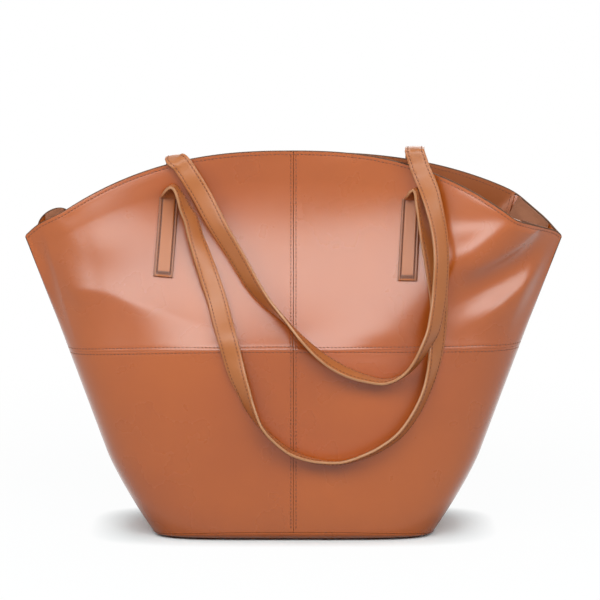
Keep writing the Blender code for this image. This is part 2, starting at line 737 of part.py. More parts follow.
def arch_over_rim(end, line):
    """The back strap's way over the mouth: up behind the back rim, then round to its swing line."""
    backwards, upwards = frame_of(line)
    reach = STRAP / 2 + JOINT_GAP
    tilt = ARCH_END - 90
    centre = end + backwards * (reach * cosine(tilt) + ARCH_BEND * sine(tilt))
    centre = centre + upwards * (reach * sine(tilt) - ARCH_BEND * cosine(tilt))
    over = arc(centre, line, ARCH_BEND, 90, ARCH_END, FOLD_STATIONS)
    rims = [rim_place(place, BACK) for place in across_strap(end[0])]
    lift = FOLD_CLEARANCE + STRAP / 2
    start = max(rim[1] for rim in rims) + lift
    level = max(rim[2] for rim in rims)
    turn = np.linspace(0, math.pi / 2, TAB_STATIONS, endpoint=False)
    y = over[0][1] + (start - over[0][1]) * np.cos(turn)
    z = level + (over[0][2] - level) * np.sin(turn)
    return np.vstack([np.stack([np.full_like(turn, end[0]), y, z], axis=-1), over])


def build_tabs(material):
    """Strap ends sewn flat on the panels. The back ones run on up and over the rim."""
    fold, arch = fold_line(), arch_line()
    for hand, hand_name, low, high in zip((-1, 1), ("left", "right"), fold, arch):
        path, across = tab_path(FRONT, hand, low[2] - FOLD_RADIUS - STRAP / 2 - FOLD_CLEARANCE)
        strap_solid(f"front_strap_{hand_name}_tab", path, across, material)
        path, across = tab_path(BACK, hand, fold_z())
        over = arch_over_rim(high, arch)
        rise = smooth_path(path[-2], [path[-1], over[0]], over[1], RISE_STATIONS)[1:-1]
        share = np.clip(np.linspace(0, 2, len(rise) + len(over)), 0, 1)[:, None]
        turning = across[-1] * (1 - share) + along(arch) * STRAP_WIDTH * share
        strap_solid(f"back_strap_{hand_name}_tab", np.vstack([path, rise, over]),
                    np.vstack([across, turning]), material)


def tab_path(side, hand, top):
    """Middle line and width direction of a sewn strap end, lying on the panel."""
    lift = SEAM_GAP + STRAP / 2
    path = []
    across = []
    for z in np.linspace(fold_z() - TAB_LENGTH, top, TAB_STATIONS):
        x = anchor_x(side, hand) - ANCHOR_LEAN * (fold_z() - z) / TAB_LENGTH
        left, middle, right = (layer(*share_at(place, z, side), side, -lift) for place in across_strap(x))
        path.append(middle)
        across.append(right - left)
    return np.array(path), np.array(across)


def hanging_points(route, side, top, drop):
    """Route rows turned into places and twists, just clear of the front panel."""
    left, right = anchor_x(side, -1), anchor_x(side, 1)
    rows = []
    for across, down, clear, twist in route:
        x = left + (right - left) * across
        z = top - drop * down
        spread = STRAP_WIDTH / 2 * cosine(twist)
        reach = STRAP_WIDTH / 2 * abs(sine(twist)) + STRAP / 2 * abs(cosine(twist))
        around = [(x, z), (x + spread, z), (x - spread, z), (x, z - spread)]
        depth = max(depth_at(*place, FRONT) for place in around)
        rows.append((x, -(depth + reach + clear), z, twist))
    return rows


def loop_strap(name, line, roots, hanging, material, rounded=False):
    """One hanging strap from its left root over its lowest point to its right root."""
    left = [(*point, 0.0) for point in roots[0]]
    right = [(*point, 0.0) for point in roots[1][::-1]]
    middle = smooth_path(left[-2], [left[-1], *hanging, right[0]], right[1], STRAP_STATIONS)
    stations = np.vstack([left[:-1], middle, right[1:]])
    path, twist = stations[:, :3], stations[:, 3]
    across = twist_vectors(path, twist)
    root = along(line) * np.where(path[:, :1] < 0, 1.0, -1.0)
    height = min(roots[0][-1][2], roots[1][-1][2]) - path[:, 2:]
    share = np.clip(height / STRAP_WIDTH, 0, 1)
    thickness = np.full(len(path), STRAP)
    if rounded:
        taper = round_taper()
        thickness[:len(taper)] *= taper
        thickness[-len(taper):] *= taper[::-1]
    return strap_solid(name, path, root * (1 - share) + across * share, material, thickness)


def round_taper():
    """Thickness shares that round off a strap's end from its tip to its swing line."""
    return np.sin(np.radians(np.linspace(ROUND_START, 90, FOLD_STATIONS)))


def round_root(end, line):
    """Stations from the tip of a rounded strap end down to its swing line and just past it."""
    _, upwards = frame_of(line)
    height = STRAP / 2 * np.cos(np.radians(np.linspace(ROUND_START, 90, FOLD_STATIONS)))
    return end + upwards * np.append(height, -STRAP / 2)[:, None]


def build_loops(material):
    """The two hanging straps, which swing up to be carried."""
    line = fold_line()
    roots = [arc(end, line, FOLD_RADIUS, FOLD_START, 180, FOLD_STATIONS) for end in line]
    hanging = hanging_points(FRONT_STRAP_ROUTE, FRONT, fold_z(), FRONT_STRAP_DROP)
    set_origin(loop_strap("front_strap", line, roots, hanging, material), line)
    line = arch_line()
    roots = [round_root(end, line) for end in line]
    top = RIM_HEIGHT - BACK_HANG_BELOW_RIM
    hanging = hanging_points(BACK_STRAP_ROUTE, BACK, top, BACK_STRAP_DROP)
    set_origin(loop_strap("back_strap", line, roots, hanging, material, rounded=True), line)


def set_origin(obj, line):
    """Put a moving piece's origin on the middle of the line it swings about."""
    middle = Vector((line[0] + line[1]) / 2)
    obj.data.transform(Matrix.Translation(-middle))
    obj.location = middle


def lathe(name, centre, profile, material):
    """A round piece turned about a line along Y, from radius and y pairs that close on themselves."""
    rings = []
    for step in range(SNAP_SIDES):
        turn = 2 * math.pi * step / SNAP_SIDES
        rings.append([(centre[0] + r * math.cos(turn), y, centre[1] + r * math.sin(turn)) for r, y in profile])
    count = len(profile)
    vertices = [point for ring in rings for point in ring]
    faces = []
    for step in range(SNAP_SIDES):
        following = (step + 1) % SNAP_SIDES
        for here in range(count):
            there = (here + 1) % count
            faces.append((step * count + here, step * count + there,
                          following * count + there, following * count + here))
    return add_solid(name, vertices, faces, material)


def build_snap(metal):
    """Magnetic closure: a holed socket on the front facing, a stud plate on the back one."""
    centre = (0.0, RIM_HEIGHT - SNAP_BELOW_RIM)
    back_face = SNAP_SPACE / 2 - SEAM_GAP
    front = -back_face
    socket = [(SOCKET_HOLE_RADIUS, front), (SNAP_RADIUS, front), (SNAP_RADIUS, front + SOCKET),
              (SOCKET_HOLE_RADIUS, front + SOCKET)]
    lathe("snap_socket", centre, socket, metal)
    plate = back_face - STUD_PLATE
    turned_disc("snap_stud", centre, [(STUD_RADIUS, plate - STUD_LENGTH), (STUD_RADIUS, plate),
                                      (SNAP_RADIUS, plate), (SNAP_RADIUS, back_face)], metal)
    for side, side_name in ((FRONT, "socket"), (BACK, "stud")):
        inner = SNAP_SPACE / 2 + FACING + SEAM_GAP
        turned_disc(f"snap_{side_name}_washer", centre,
                    [(SNAP_RADIUS, side * inner), (SNAP_RADIUS, side * (inner + WASHER))], metal)


def turned_disc(name, centre, profile, material):
    """A round solid turned about a line along Y, capped at both ends."""
    rings = []
    for radius, y in profile:
        turn = np.linspace(0, 2 * math.pi, SNAP_SIDES, endpoint=False)
        ring = np.stack([centre[0] + radius * np.cos(turn), np.full_like(turn, y),
                         centre[1] + radius * np.sin(turn)], axis=-1)
        rings.append(ring)
    return ring_solid(name, rings, material)


clear_scene()
tan = make_material("tan_leather", TAN_LEATHER)
strap_leather = make_material("strap_leather", STRAP_LEATHER)
facing_leather = make_material("facing_leather", FACING_LEATHER)
lining_cloth = make_material("lining_cloth", LINING_CLOTH)
backing_felt = make_material("backing_felt", BACKING_FELT)
board_grey = make_material("board", BOARD_GREY)
snap_metal = make_material("snap_metal", SNAP_METAL, metallic=1.0)

build_panels(tan)
build_base(tan, board_grey, lining_cloth)
build_facings(facing_leather)
build_linings(lining_cloth)
build_patches(backing_felt)
build_tabs(strap_leather)
build_loops(strap_leather)
build_snap(snap_metal)
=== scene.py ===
import math

import bpy
import numpy as np
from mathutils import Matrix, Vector


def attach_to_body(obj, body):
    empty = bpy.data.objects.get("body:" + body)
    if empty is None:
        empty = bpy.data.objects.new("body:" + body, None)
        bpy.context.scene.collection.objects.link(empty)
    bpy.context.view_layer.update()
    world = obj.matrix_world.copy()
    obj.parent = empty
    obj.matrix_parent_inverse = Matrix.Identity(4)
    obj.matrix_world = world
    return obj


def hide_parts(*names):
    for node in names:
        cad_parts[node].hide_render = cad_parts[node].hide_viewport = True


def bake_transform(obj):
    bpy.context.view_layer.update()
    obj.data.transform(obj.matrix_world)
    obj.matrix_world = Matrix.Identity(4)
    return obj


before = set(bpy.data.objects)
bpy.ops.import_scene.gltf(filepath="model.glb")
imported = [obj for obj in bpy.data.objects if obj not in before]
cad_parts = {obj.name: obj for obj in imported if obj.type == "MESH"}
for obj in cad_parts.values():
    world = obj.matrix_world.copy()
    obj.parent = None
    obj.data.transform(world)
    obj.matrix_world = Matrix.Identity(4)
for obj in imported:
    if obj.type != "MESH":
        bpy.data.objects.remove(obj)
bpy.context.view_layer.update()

print("frame loaded: %d CAD nodes" % len(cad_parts))

front, back = -1, 1
handNames = {-1: "left", 1: "right"}
sideNames = {front: "front", back: "back"}

# The bag's form in metres, the same as that of its solids. Pairs are (left, right).
bag = {
    "waistHalfWidth": 0.1343, "sideFlare": 0.376, "tuckDepth": 0.0145, "tuckHeight": 0.070,
    "tipHeight": 0.2542, "rimHeight": 0.3275, "seamHeight": 0.1650, "seamDrop": (0.0075, 0.0030),
    "rimArchPower": 2.5, "baseHalfDepth": 0.060, "bellyHalfDepth": 0.064, "bellyHeight": 0.035,
    "seamHalfDepth": 0.057, "baseCornerPower": 4.5, "seamCornerPower": 2.6,
    "mouthHalfGap": (0.0125, 0.045), "mouthSpreadPower": 2.0, "closedHalfGap": 0.0049,
    "leanPower": 1.6, "uprightFrom": 0.85, "kinkTravel": 0.40, "kinkRoundRim": 0.007,
    "kinkRoundSeam": 0.022, "baseSeamCorner": 0.0030, "baseSeamLift": 0.0055, "baseRoll": 0.016,
    "leather": 0.0016, "facing": 0.0010, "lining": 0.0006, "linerDepth": 0.0032, "seamGap": 0.0003,
    "rimRound": 0.020,
}
mouthCorner = {
    front: {"peakDrop": 0.0, "kink": (0.853, 0.813), "drop": (0.0514, 0.0543),
            "shoulder": (0.9535, 0.983), "rise": (0.0102, 0.0049)},
    back: {"peakDrop": 0.0020, "kink": (0.853, 0.845), "drop": (0.0560, 0.0419),
           "shoulder": (0.950, 0.950), "rise": (0.0095, 0.0126)},
}
# the slack of the back rim just inside its left corner
backBump = {"at": -0.900, "reach": 0.056, "height": 0.0082}


def byHand(u, pair):
    # the left or the right value, by the sign of u
    return np.where(np.asarray(u) < 0, pair[0], pair[1])


def between(start, stop, share):
    # the value at a share of the way from start to stop
    return start + (stop - start) * share


def eased(share):
    # a share from 0 to 1 that starts and ends softly
    return share * share * (3 - 2 * share)


def unit(vectors):
    return vectors / np.linalg.norm(vectors, axis=-1, keepdims=True)


def runAlong(points):
    # the length of a line of points up to each of them
    return np.concatenate([[0], np.cumsum(np.linalg.norm(np.diff(points, axis=0), axis=1))])


def circleAngles(count):
    # even steps round a circle, half a step off its start
    return np.linspace(0, 2 * math.pi, count, endpoint=False) + math.pi / count


def halfWidth(z):
    # straight flare, tucked in near the base
    tuck = np.clip(1 - z / bag["tuckHeight"], 0, None) ** 1.5
    return bag["waistHalfWidth"] + bag["sideFlare"] * z - bag["tuckDepth"] * tuck


def seamZ(u):
    # cross seam, a little lower at the sides
    return bag["seamHeight"] - byHand(u, bag["seamDrop"]) * np.abs(u) ** 2.5


def baseSeamZ(u):
    # seam between base and body, highest at the middle
    return bag["baseSeamCorner"] + bag["baseSeamLift"] * (1 - np.abs(u) ** 3)


def rimZ(u, side):
    # the rim with its corners rounded, as the mean of the sharp one over a short stretch
    a = np.abs(u)
    reach = np.minimum(bag["rimRound"], 1 - a)
    places = [np.copysign(np.clip(a + shift * reach, 0, 1), u) for shift in np.linspace(-1, 1, 9)]
    rim = sum(sharpRim(place, side) for place in places) / len(places)
    if side == back:
        away = (u - backBump["at"]) / backBump["reach"]
        rim = rim + backBump["height"] * np.clip(1 - away ** 2, 0, 1) ** 0.6
    return rim


def sharpRim(u, side):
    # an arch out to the kink, a steep stretch to the shoulder, then a flat one to the tip
    corner = mouthCorner[side]
    a = np.abs(u)
    peak = bag["rimHeight"] - corner["peakDrop"]
    kink, shoulder = byHand(u, corner["kink"]), byHand(u, corner["shoulder"])
    drop = byHand(u, corner["drop"]) - corner["peakDrop"]
    rise = byHand(u, corner["rise"])
    arch = peak - drop * (a / kink) ** bag["rimArchPower"]
    upper = between(peak - drop, bag["tipHeight"] + rise, (a - kink) / (shoulder - kink))
    lower = bag["tipHeight"] + rise * (1 - a) / (1 - shoulder)
    return np.where(a <= kink, arch, np.where(a <= shoulder, upper, lower))


def bodyDepth(u, z):
    # plan section below the cross seam: a rounded rectangle that softens upwards
    below = np.clip(1 - z / bag["bellyHeight"], 0, None)
    above = np.clip((z - bag["bellyHeight"]) / (bag["seamHeight"] - bag["bellyHeight"]), 0, None)
    belly = bag["bellyHalfDepth"]
    depth = belly - (belly - bag["baseHalfDepth"]) * below ** 2
    depth = depth - (belly - bag["seamHalfDepth"]) * above ** 2
    power = np.interp(z, [0, bag["seamHeight"]], [bag["baseCornerPower"], bag["seamCornerPower"]])
    return depth * np.clip(1 - np.abs(u) ** power, 0, None) ** (1 / power)


def mouthDepth(u, t, side):
    # plan section of the mouth: shut in the middle, widest at the kink, shut at the tip
    a = np.abs(u)
    gap = byHand(u, bag["mouthHalfGap"])
    kink = byHand(u, mouthCorner[side]["kink"]) - bag["kinkTravel"] * (1 - t) ** 1.2
    inner = between(bag["closedHalfGap"], gap, (a / kink) ** bag["mouthSpreadPower"])
    outer = gap * (1 - a) / (1 - kink)
    rounding = between(bag["kinkRoundRim"], bag["kinkRoundSeam"], 1 - t)
    lower = (inner + outer - np.sqrt((inner - outer) ** 2 + rounding ** 2)) / 2
    return np.maximum(lower, 0)


def skinPoint(u, v, side):
    # outer face of the leather. v is 0 at the base seam, 1 at the cross seam and 2 at the rim
    u, v = np.broadcast_arrays(np.asarray(u, float), np.asarray(v, float))
    seam = seamZ(u)
    low = v <= 1
    t = np.clip(v - 1, 0, 1)
    z = np.where(low, between(baseSeamZ(u), seam, v), between(seam, rimZ(u, side), t))
    widthZ = np.where(low, z, between(seam, bag["tipHeight"], t))
    lean = np.where(low, 0, 1 - np.clip(1 - t / bag["uprightFrom"], 0, 1) ** bag["leanPower"])
    depth = between(bodyDepth(u, np.minimum(z, seam)), mouthDepth(u, t, side), lean)
    sideGap = bag["seamGap"] / 2 + bag["leather"] * lean
    return np.stack([halfWidth(widthZ) * u, side * (sideGap + depth), z], axis=-1)


def skinNormal(u, v, side, step=0.004, spread=0.035):
    # cross product of the two directions along the skin, taken over a few millimetres
    u, v = np.broadcast_arrays(np.asarray(u, float), np.asarray(v, float))
    reach = step + spread * np.clip(v - 1, 0, 1)
    right, left = (skinPoint(np.clip(u + shift, -1, 1), v, side) for shift in (reach, -reach))
    upper, lower = (skinPoint(u, np.clip(v + shift, 0, 2), side) for shift in (step, -step))
    return unit(np.cross(right - left, upper - lower) * -side)


def skinLayer(u, v, side, depth):
    # a face that lies depth inwards of the skin
    return skinPoint(u, v, side) - np.asarray(depth)[..., None] * skinNormal(u, v, side)


def shareAt(x, z, side):
    # the u and v of the skin at a place seen from the front, by repeated correction
    x, z = np.broadcast_arrays(np.asarray(x, float), np.asarray(z, float))
    u = x / halfWidth(np.minimum(z, bag["tipHeight"]))
    for _ in range(12):
        seam, base = seamZ(u), baseSeamZ(u)
        v = np.where(z <= seam, (z - base) / (seam - base), 1 + (z - seam) / (rimZ(u, side) - seam))
        upperZ = between(seam, bag["tipHeight"], np.clip(v - 1, 0, 1))
        u = x / halfWidth(np.where(z <= seam, z, upperZ))
    return u, np.clip(v, 0, 2)


def depthAt(x, z):
    # how far the front skin stands from the middle plane
    return -skinPoint(*shareAt(x, z, front), front)[..., 1]


def gridFaces(rows, columns, closeRows=False, closeColumns=False):
    # quads of a grid of points, closed round its rows or its columns where asked
    index = np.arange(rows * columns).reshape(rows, columns)
    if closeRows:
        index = np.vstack([index, index[:1]])
    if closeColumns:
        index = np.hstack([index, index[:, :1]])
    return np.stack([index[:-1, :-1], index[:-1, 1:], index[1:, 1:], index[1:, :-1]], axis=-1).reshape(-1, 4)


def addObject(name, data):
    thing = bpy.data.objects.new(name, data)
    bpy.context.scene.collection.objects.link(thing)
    return thing


def newPiece(name, points, faces, material, uvs=None, sharpAngle=50.0):
    # a mesh whose faces are turned outwards by the sign of its volume
    points = points.reshape(-1, 3)
    first, second, third, fourth = (points[faces[:, corner]] for corner in range(4))
    if np.sum(first * np.cross(second, third)) + np.sum(first * np.cross(third, fourth)) < 0:
        faces = faces[:, ::-1]
    mesh = bpy.data.meshes.new(name)
    mesh.from_pydata(points.tolist(), [], faces.tolist())
    if uvs is not None:
        layer = mesh.uv_layers.new(name="UVMap")
        layer.data.foreach_set("uv", uvs.reshape(-1, 2)[faces.ravel()].ravel())
    mesh.shade_smooth()
    mesh.set_sharp_from_angle(angle=math.radians(sharpAngle))
    mesh.materials.append(material)
    piece = addObject(name, mesh)
    return piece


def sheetPiece(name, outer, inner, material, bevel=0.0004):
    # a closed sheet: outer rows go up, inner rows come down again, both ends are walled and the
    # edges are rounded by a bevel
    rows, columns = outer.shape[:2]
    loop = np.concatenate([outer, inner[::-1]])
    faces = gridFaces(2 * rows, columns, closeRows=True)
    index = np.arange(2 * rows * columns).reshape(2 * rows, columns)
    for column, turn in ((0, 1), (-1, -1)):
        up, down = index[:rows, column], index[rows:, column][::-1]
        wall = np.stack([up[:-1], up[1:], down[1:], down[:-1]], axis=-1)
        faces = np.concatenate([faces, wall[:, ::turn]])
    piece = newPiece(name, loop, faces, material)
    rounding = piece.modifiers.new("edges", "BEVEL")
    rounding.width = bevel
    rounding.segments = 2
    rounding.limit_method = "ANGLE"
    rounding.angle_limit = math.radians(55)
    return piece


def tubePiece(name, rings, material, uvs=None):
    # rings of equal count joined along their path, each end closed by quads across its ring
    stations, count = rings.shape[:2]
    faces = gridFaces(stations, count, closeColumns=True)
    half = count // 2
    low = np.arange(half)
    high = count - 1 - low
    cap = np.stack([low[:-1], low[1:], high[1:], high[:-1]], axis=-1)
    faces = np.concatenate([faces, cap[:, ::-1], cap + (stations - 1) * count])
    return newPiece(name, rings, faces, material, uvs)


def setInputs(tree, node, inputs):
    # sets each input to its value, or wires it where the value is a socket
    for key, value in inputs.items():
        if isinstance(value, bpy.types.NodeSocket):
            tree.links.new(value, node.inputs[key])
        else:
            node.inputs[key].default_value = value


def makeNode(tree, kind, inputs=None, **settings):
    node = tree.nodes.new(kind)
    for key, value in settings.items():
        setattr(node, key, value)
    setInputs(tree, node, inputs or {})
    return node


def combined(tree, operation, *values):
    # one number from sockets and constants
    return makeNode(tree, "ShaderNodeMath", dict(enumerate(values)), operation=operation).outputs[0]


def blendColours(tree, factor, dark, light):
    # mixes two colours or sockets. The mix node's colour sockets are its inputs 6 and 7 and output 2.
    return makeNode(tree, "ShaderNodeMix", {0: factor, 6: dark, 7: light}, data_type="RGBA").outputs[2]


def ramp(tree, value, low, high, toLow=0.0, toHigh=1.0):
    # straight rise from low to high, held outside
    limits = {"From Min": low, "From Max": high, "To Min": toLow, "To Max": toHigh}
    return makeNode(tree, "ShaderNodeMapRange", {"Value": value, **limits}).outputs["Result"]


def noise(tree, place, scale, detail=3.0):
    inputs = {"Vector": place, "Scale": scale, "Detail": detail}
    return makeNode(tree, "ShaderNodeTexNoise", inputs).outputs["Fac"]


def mottle(tree, place, scale, detail=3.0, toLow=0.0, toHigh=1.0):
    # soft uneven patches, from the middle part of a noise
    return ramp(tree, noise(tree, place, scale, detail), 0.3, 0.7, toLow, toHigh)


def bumped(tree, height, strength, distance):
    # the surface's direction as turned by a relief
    return makeNode(tree, "ShaderNodeBump", {
        "Height": height, "Strength": strength, "Distance": distance}).outputs["Normal"]


def awayFrom(tree, value, middle):
    return combined(tree, "ABSOLUTE", combined(tree, "SUBTRACT", value, middle))


def bandAt(tree, value, middle, width):
    # 1 within a narrow band of values and 0 away from it
    return ramp(tree, awayFrom(tree, value, middle), width * 0.6, width * 1.3, 1.0, 0.0)


def stitchGroove(tree, fromMiddle, run, look):
    # the rectangle that the stitches press into a sewn end, two long sides and a lower bar, painted dark as
    # the shade in its grooves
    at, width = look["pressedAt"], look["pressedWidth"]
    barAt, barWidth = look["barAt"], look["barWidth"]
    within = ramp(tree, fromMiddle, at, at + width, 1.0, 0.0)
    above = ramp(tree, run, barAt - barWidth, barAt)
    sides = combined(tree, "MULTIPLY", bandAt(tree, fromMiddle, at, width), above)
    bar = combined(tree, "MULTIPLY", bandAt(tree, run, barAt, barWidth), within)
    return combined(tree, "MAXIMUM", sides, bar)


def newMaterial(name):
    # a material, its tree and shader, and the place on the object
    material = bpy.data.materials.new(name)
    material.use_nodes = True
    tree = material.node_tree
    place = makeNode(tree, "ShaderNodeTexCoord").outputs["Object"]
    return material, tree, tree.nodes["Principled BSDF"], place


def leatherMaterial(name, look):
    # smooth finished hide: cloudy colour, fine creased grain, uneven gloss
    material, tree, shader, place = newMaterial(name)
    clouds = mottle(tree, place, look["cloudScale"])
    colour = blendColours(tree, clouds, look["dark"], look["light"])
    if "edge" in look:
        uv = makeNode(tree, "ShaderNodeUVMap").outputs["UV"]
        split = makeNode(tree, "ShaderNodeSeparateXYZ", {"Vector": uv}).outputs
        fromMiddle = awayFrom(tree, split["X"], 0.5)
        # painted shade in the grooves that the tab's stitches press in
        if "pressed" in look:
            pressed = stitchGroove(tree, fromMiddle, split["Y"], look)
            colour = blendColours(tree, pressed, colour, look["pressed"])
        # edge colour over the outer share of the width: on the straps a paler raw edge with a painted
        # highlight, on the tabs dark edge paint with painted shade
        atEdge = ramp(tree, fromMiddle, look["edgeFrom"], look["edgeFull"])
        colour = blendColours(tree, atEdge, colour, look["edge"])
    inputs = {"Vector": place, "Scale": look["grainScale"]}
    cells = makeNode(tree, "ShaderNodeTexVoronoi", inputs, feature="DISTANCE_TO_EDGE")
    creases = ramp(tree, cells.outputs["Distance"], 0.0, 0.25)
    pores = noise(tree, place, look["grainScale"] * 2.2, 2.0)
    height = combined(tree, "MULTIPLY_ADD", pores, 0.6, creases)
    setInputs(tree, shader, {
        "Base Color": colour,
        "Normal": bumped(tree, height, look["grain"], 0.0003),
        "Roughness": mottle(tree, place, look["cloudScale"] * 3, 4.0, *look["roughness"]),
        "Specular IOR Level": look.get("specular", 0.5),
        "Coat Weight": look.get("coat", 0.0),
        "Coat Roughness": look.get("coatRoughness", 0.3)})
    return material


def clothMaterial(name, look):
    # plain weave: two crossed waves over a cloudy colour
    material, tree, shader, place = newMaterial(name)
    inputs = {"Vector": place, "Scale": look["threads"], "Distortion": 0.6}
    threads = [makeNode(tree, "ShaderNodeTexWave", inputs, bands_direction=way).outputs["Fac"]
               for way in ("X", "Z")]
    setInputs(tree, shader, {
        "Base Color": blendColours(tree, mottle(tree, place, 40.0), look["dark"], look["light"]),
        "Normal": bumped(tree, combined(tree, "MAXIMUM", *threads), 0.5, 0.0002),
        "Roughness": look["roughness"], "Sheen Weight": 0.2})
    return material


def metalMaterial(name, colour, roughness):
    # plated metal with a faint brushed unevenness
    material, tree, shader, place = newMaterial(name)
    setInputs(tree, shader, {
        "Base Color": colour, "Metallic": 1.0,
        "Roughness": mottle(tree, place, 900.0, 4.0, roughness * 0.7, roughness * 1.4)})
    return material


panelLook = {
    "dark": (0.400, 0.072, 0.004, 1), "light": (0.465, 0.092, 0.006, 1), "cloudScale": 9.0,
    "grainScale": 900.0, "grain": 0.07, "roughness": (0.26, 0.31), "specular": 0.4,
    "coat": 0.8, "coatRoughness": 0.26,
}
strapLook = {
    "dark": (0.400, 0.112, 0.024, 1), "light": (0.470, 0.140, 0.034, 1), "cloudScale": 14.0,
    # edge: the paler raw edge with a painted highlight where the rounded edge catches the light
    "edge": (0.47, 0.20, 0.085, 1), "edgeFrom": 0.474, "edgeFull": 0.490,
    "grainScale": 900.0, "grain": 0.12, "roughness": (0.30, 0.42),
}
tabLook = {
    "dark": (0.400, 0.100, 0.018, 1), "light": (0.450, 0.120, 0.026, 1), "cloudScale": 14.0,
    # edge: dark edge paint with painted shade along the tab's edges
    "edge": (0.270, 0.072, 0.018, 1), "edgeFrom": 0.385, "edgeFull": 0.420,
    # pressed: painted shade in the stitch grooves and the lower bar
    "pressed": (0.150, 0.036, 0.010, 1), "pressedAt": 0.345, "pressedWidth": 0.048,
    "barAt": 0.0030, "barWidth": 0.0016,
    "grainScale": 900.0, "grain": 0.10, "roughness": (0.31, 0.37), "specular": 0.3, "coat": 0.5,
    "coatRoughness": 0.33,
}
facingLook = {
    "dark": (0.350, 0.085, 0.020, 1), "light": (0.410, 0.105, 0.027, 1), "cloudScale": 12.0,
    "grainScale": 900.0, "grain": 0.12, "roughness": (0.38, 0.50),
}
threadLook = {
    "dark": (0.180, 0.045, 0.015, 1), "light": (0.250, 0.066, 0.022, 1), "cloudScale": 60.0,
    "grainScale": 2400.0, "grain": 0.35, "roughness": (0.50, 0.65),
}
panelLeather = leatherMaterial("panelLeather", panelLook)
strapLeather = leatherMaterial("strapLeather", strapLook)
tabLeather = leatherMaterial("tabLeather", tabLook)
facingLeather = leatherMaterial("facingLeather", facingLook)
threadFibre = leatherMaterial("thread", threadLook)
liningCloth = clothMaterial("liningCloth", {
    "dark": (0.270, 0.085, 0.034, 1), "light": (0.330, 0.110, 0.046, 1), "threads": 420.0, "roughness": 0.75})
backingFelt = clothMaterial("backingFelt", {
    "dark": (0.30, 0.24, 0.17, 1), "light": (0.38, 0.31, 0.22, 1), "threads": 260.0, "roughness": 0.95})
boardFibre = clothMaterial("boardFibre", {
    "dark": (0.10, 0.09, 0.075, 1), "light": (0.14, 0.125, 0.105, 1), "threads": 150.0, "roughness": 0.9})
snapMetal = metalMaterial("snapMetal", (0.70, 0.55, 0.33, 1), 0.28)
print("materials ready")

panelShape = {
    "columns": 110, "rows": 84, "stitchOffset": 0.0022, "seamDip": 0.0001, "seamDipWidth": 0.0005,
    "puff": 0.00003, "puffWidth": 0.0020, "puffOffset": 0.00484, "rowDip": 0.00010, "rowDipWidth": 0.0006,
    "rimStitch": 0.0026,
}


def valley(distance, width):
    # bell curve, 1 at the line and near 0 two widths away
    return np.exp(-(distance / width) ** 2)


# The slack of the left corner: at places across the front, the share of the way up at which it
# stands off most, and how far
slack = {
    "across": (-1.0, -0.95, -0.91, -0.86, -0.78, -0.67, -0.48, -0.32),
    "crest": (1.52, 1.48, 1.45, 1.42, 1.38, 1.27, 1.16, 1.10),
    "height": (0.0, 0.0048, 0.0088, 0.0125, 0.0138, 0.0118, 0.0040, 0.0),
    "blend": 0.04, "powerAbove": 2.0, "powerBelow": 1.25, "heldWithin": 0.06,
}
# Ridges and hollows of slack leather that run down from the corners of the mouth, and the hollow
# along the cross seam: three places on the crest as seen from the front, how far the leather takes
# to level out above and below it at both its ends, and the height of the crest, below 0 in a hollow
folds = [
    {"crest": ((-0.2000, 0.2740), (-0.1760, 0.2510), (-0.1080, 0.2430)),
     "above": (0.003, 0.032), "below": (0.003, 0.030), "height": 0.0020},
    {"crest": ((0.2000, 0.2790), (0.1640, 0.2700), (0.0950, 0.2640)),
     "above": (0.006, 0.014), "below": (0.006, 0.014), "height": -0.0013},
    {"crest": ((0.2000, 0.2620), (0.1690, 0.2440), (0.1150, 0.2240)),
     "above": (0.013, 0.024), "below": (0.006, 0.016), "height": 0.0078},
    {"crest": ((0.2290, 0.2500), (0.1930, 0.2120), (0.1200, 0.1650)),
     "above": (0.009, 0.017), "below": (0.007, 0.030), "height": 0.0098},
    {"crest": ((0.0180, 0.1640), (0.0480, 0.1640), (0.1200, 0.1630)),
     "above": (0.010, 0.010), "below": (0.010, 0.010), "height": -0.0013},
]
foldEnd = 0.35
waves = {"height": 0.0005, "across": 46.0, "sway": 1.3, "swayUp": 30.0, "upward": 20.0}
held = {"rim": 0.06, "base": 0.20, "side": 0.10}


def crestLine(fold, steps=13):
    # a parabola through the three places of a crest
    t = np.linspace(0, 1, steps)[:, None]
    start, bend, end = (np.array(place) for place in fold["crest"])
    return start * (1 - t) * (1 - 2 * t) + bend * 4 * t * (1 - t) + end * t * (2 * t - 1)


def slackRelief(u, v):
    # falls from the crest by a power of the share of the way to the rim above and to the seam below
    places = [u + shift for shift in slack["blend"] * np.linspace(-1, 1, 9)]
    crest, height = (sum(np.interp(place, slack["across"], slack[part]) for place in places) / len(places)
                     for part in ("crest", "height"))
    above = np.clip((v - crest) / (2 - crest), 0, 1) ** slack["powerAbove"]
    below = np.clip((crest - v) / (crest - 1), 0, 1) ** slack["powerBelow"]
    return height * (1 - above - below) * np.clip((1 + u) / slack["heldWithin"], 0, 1)


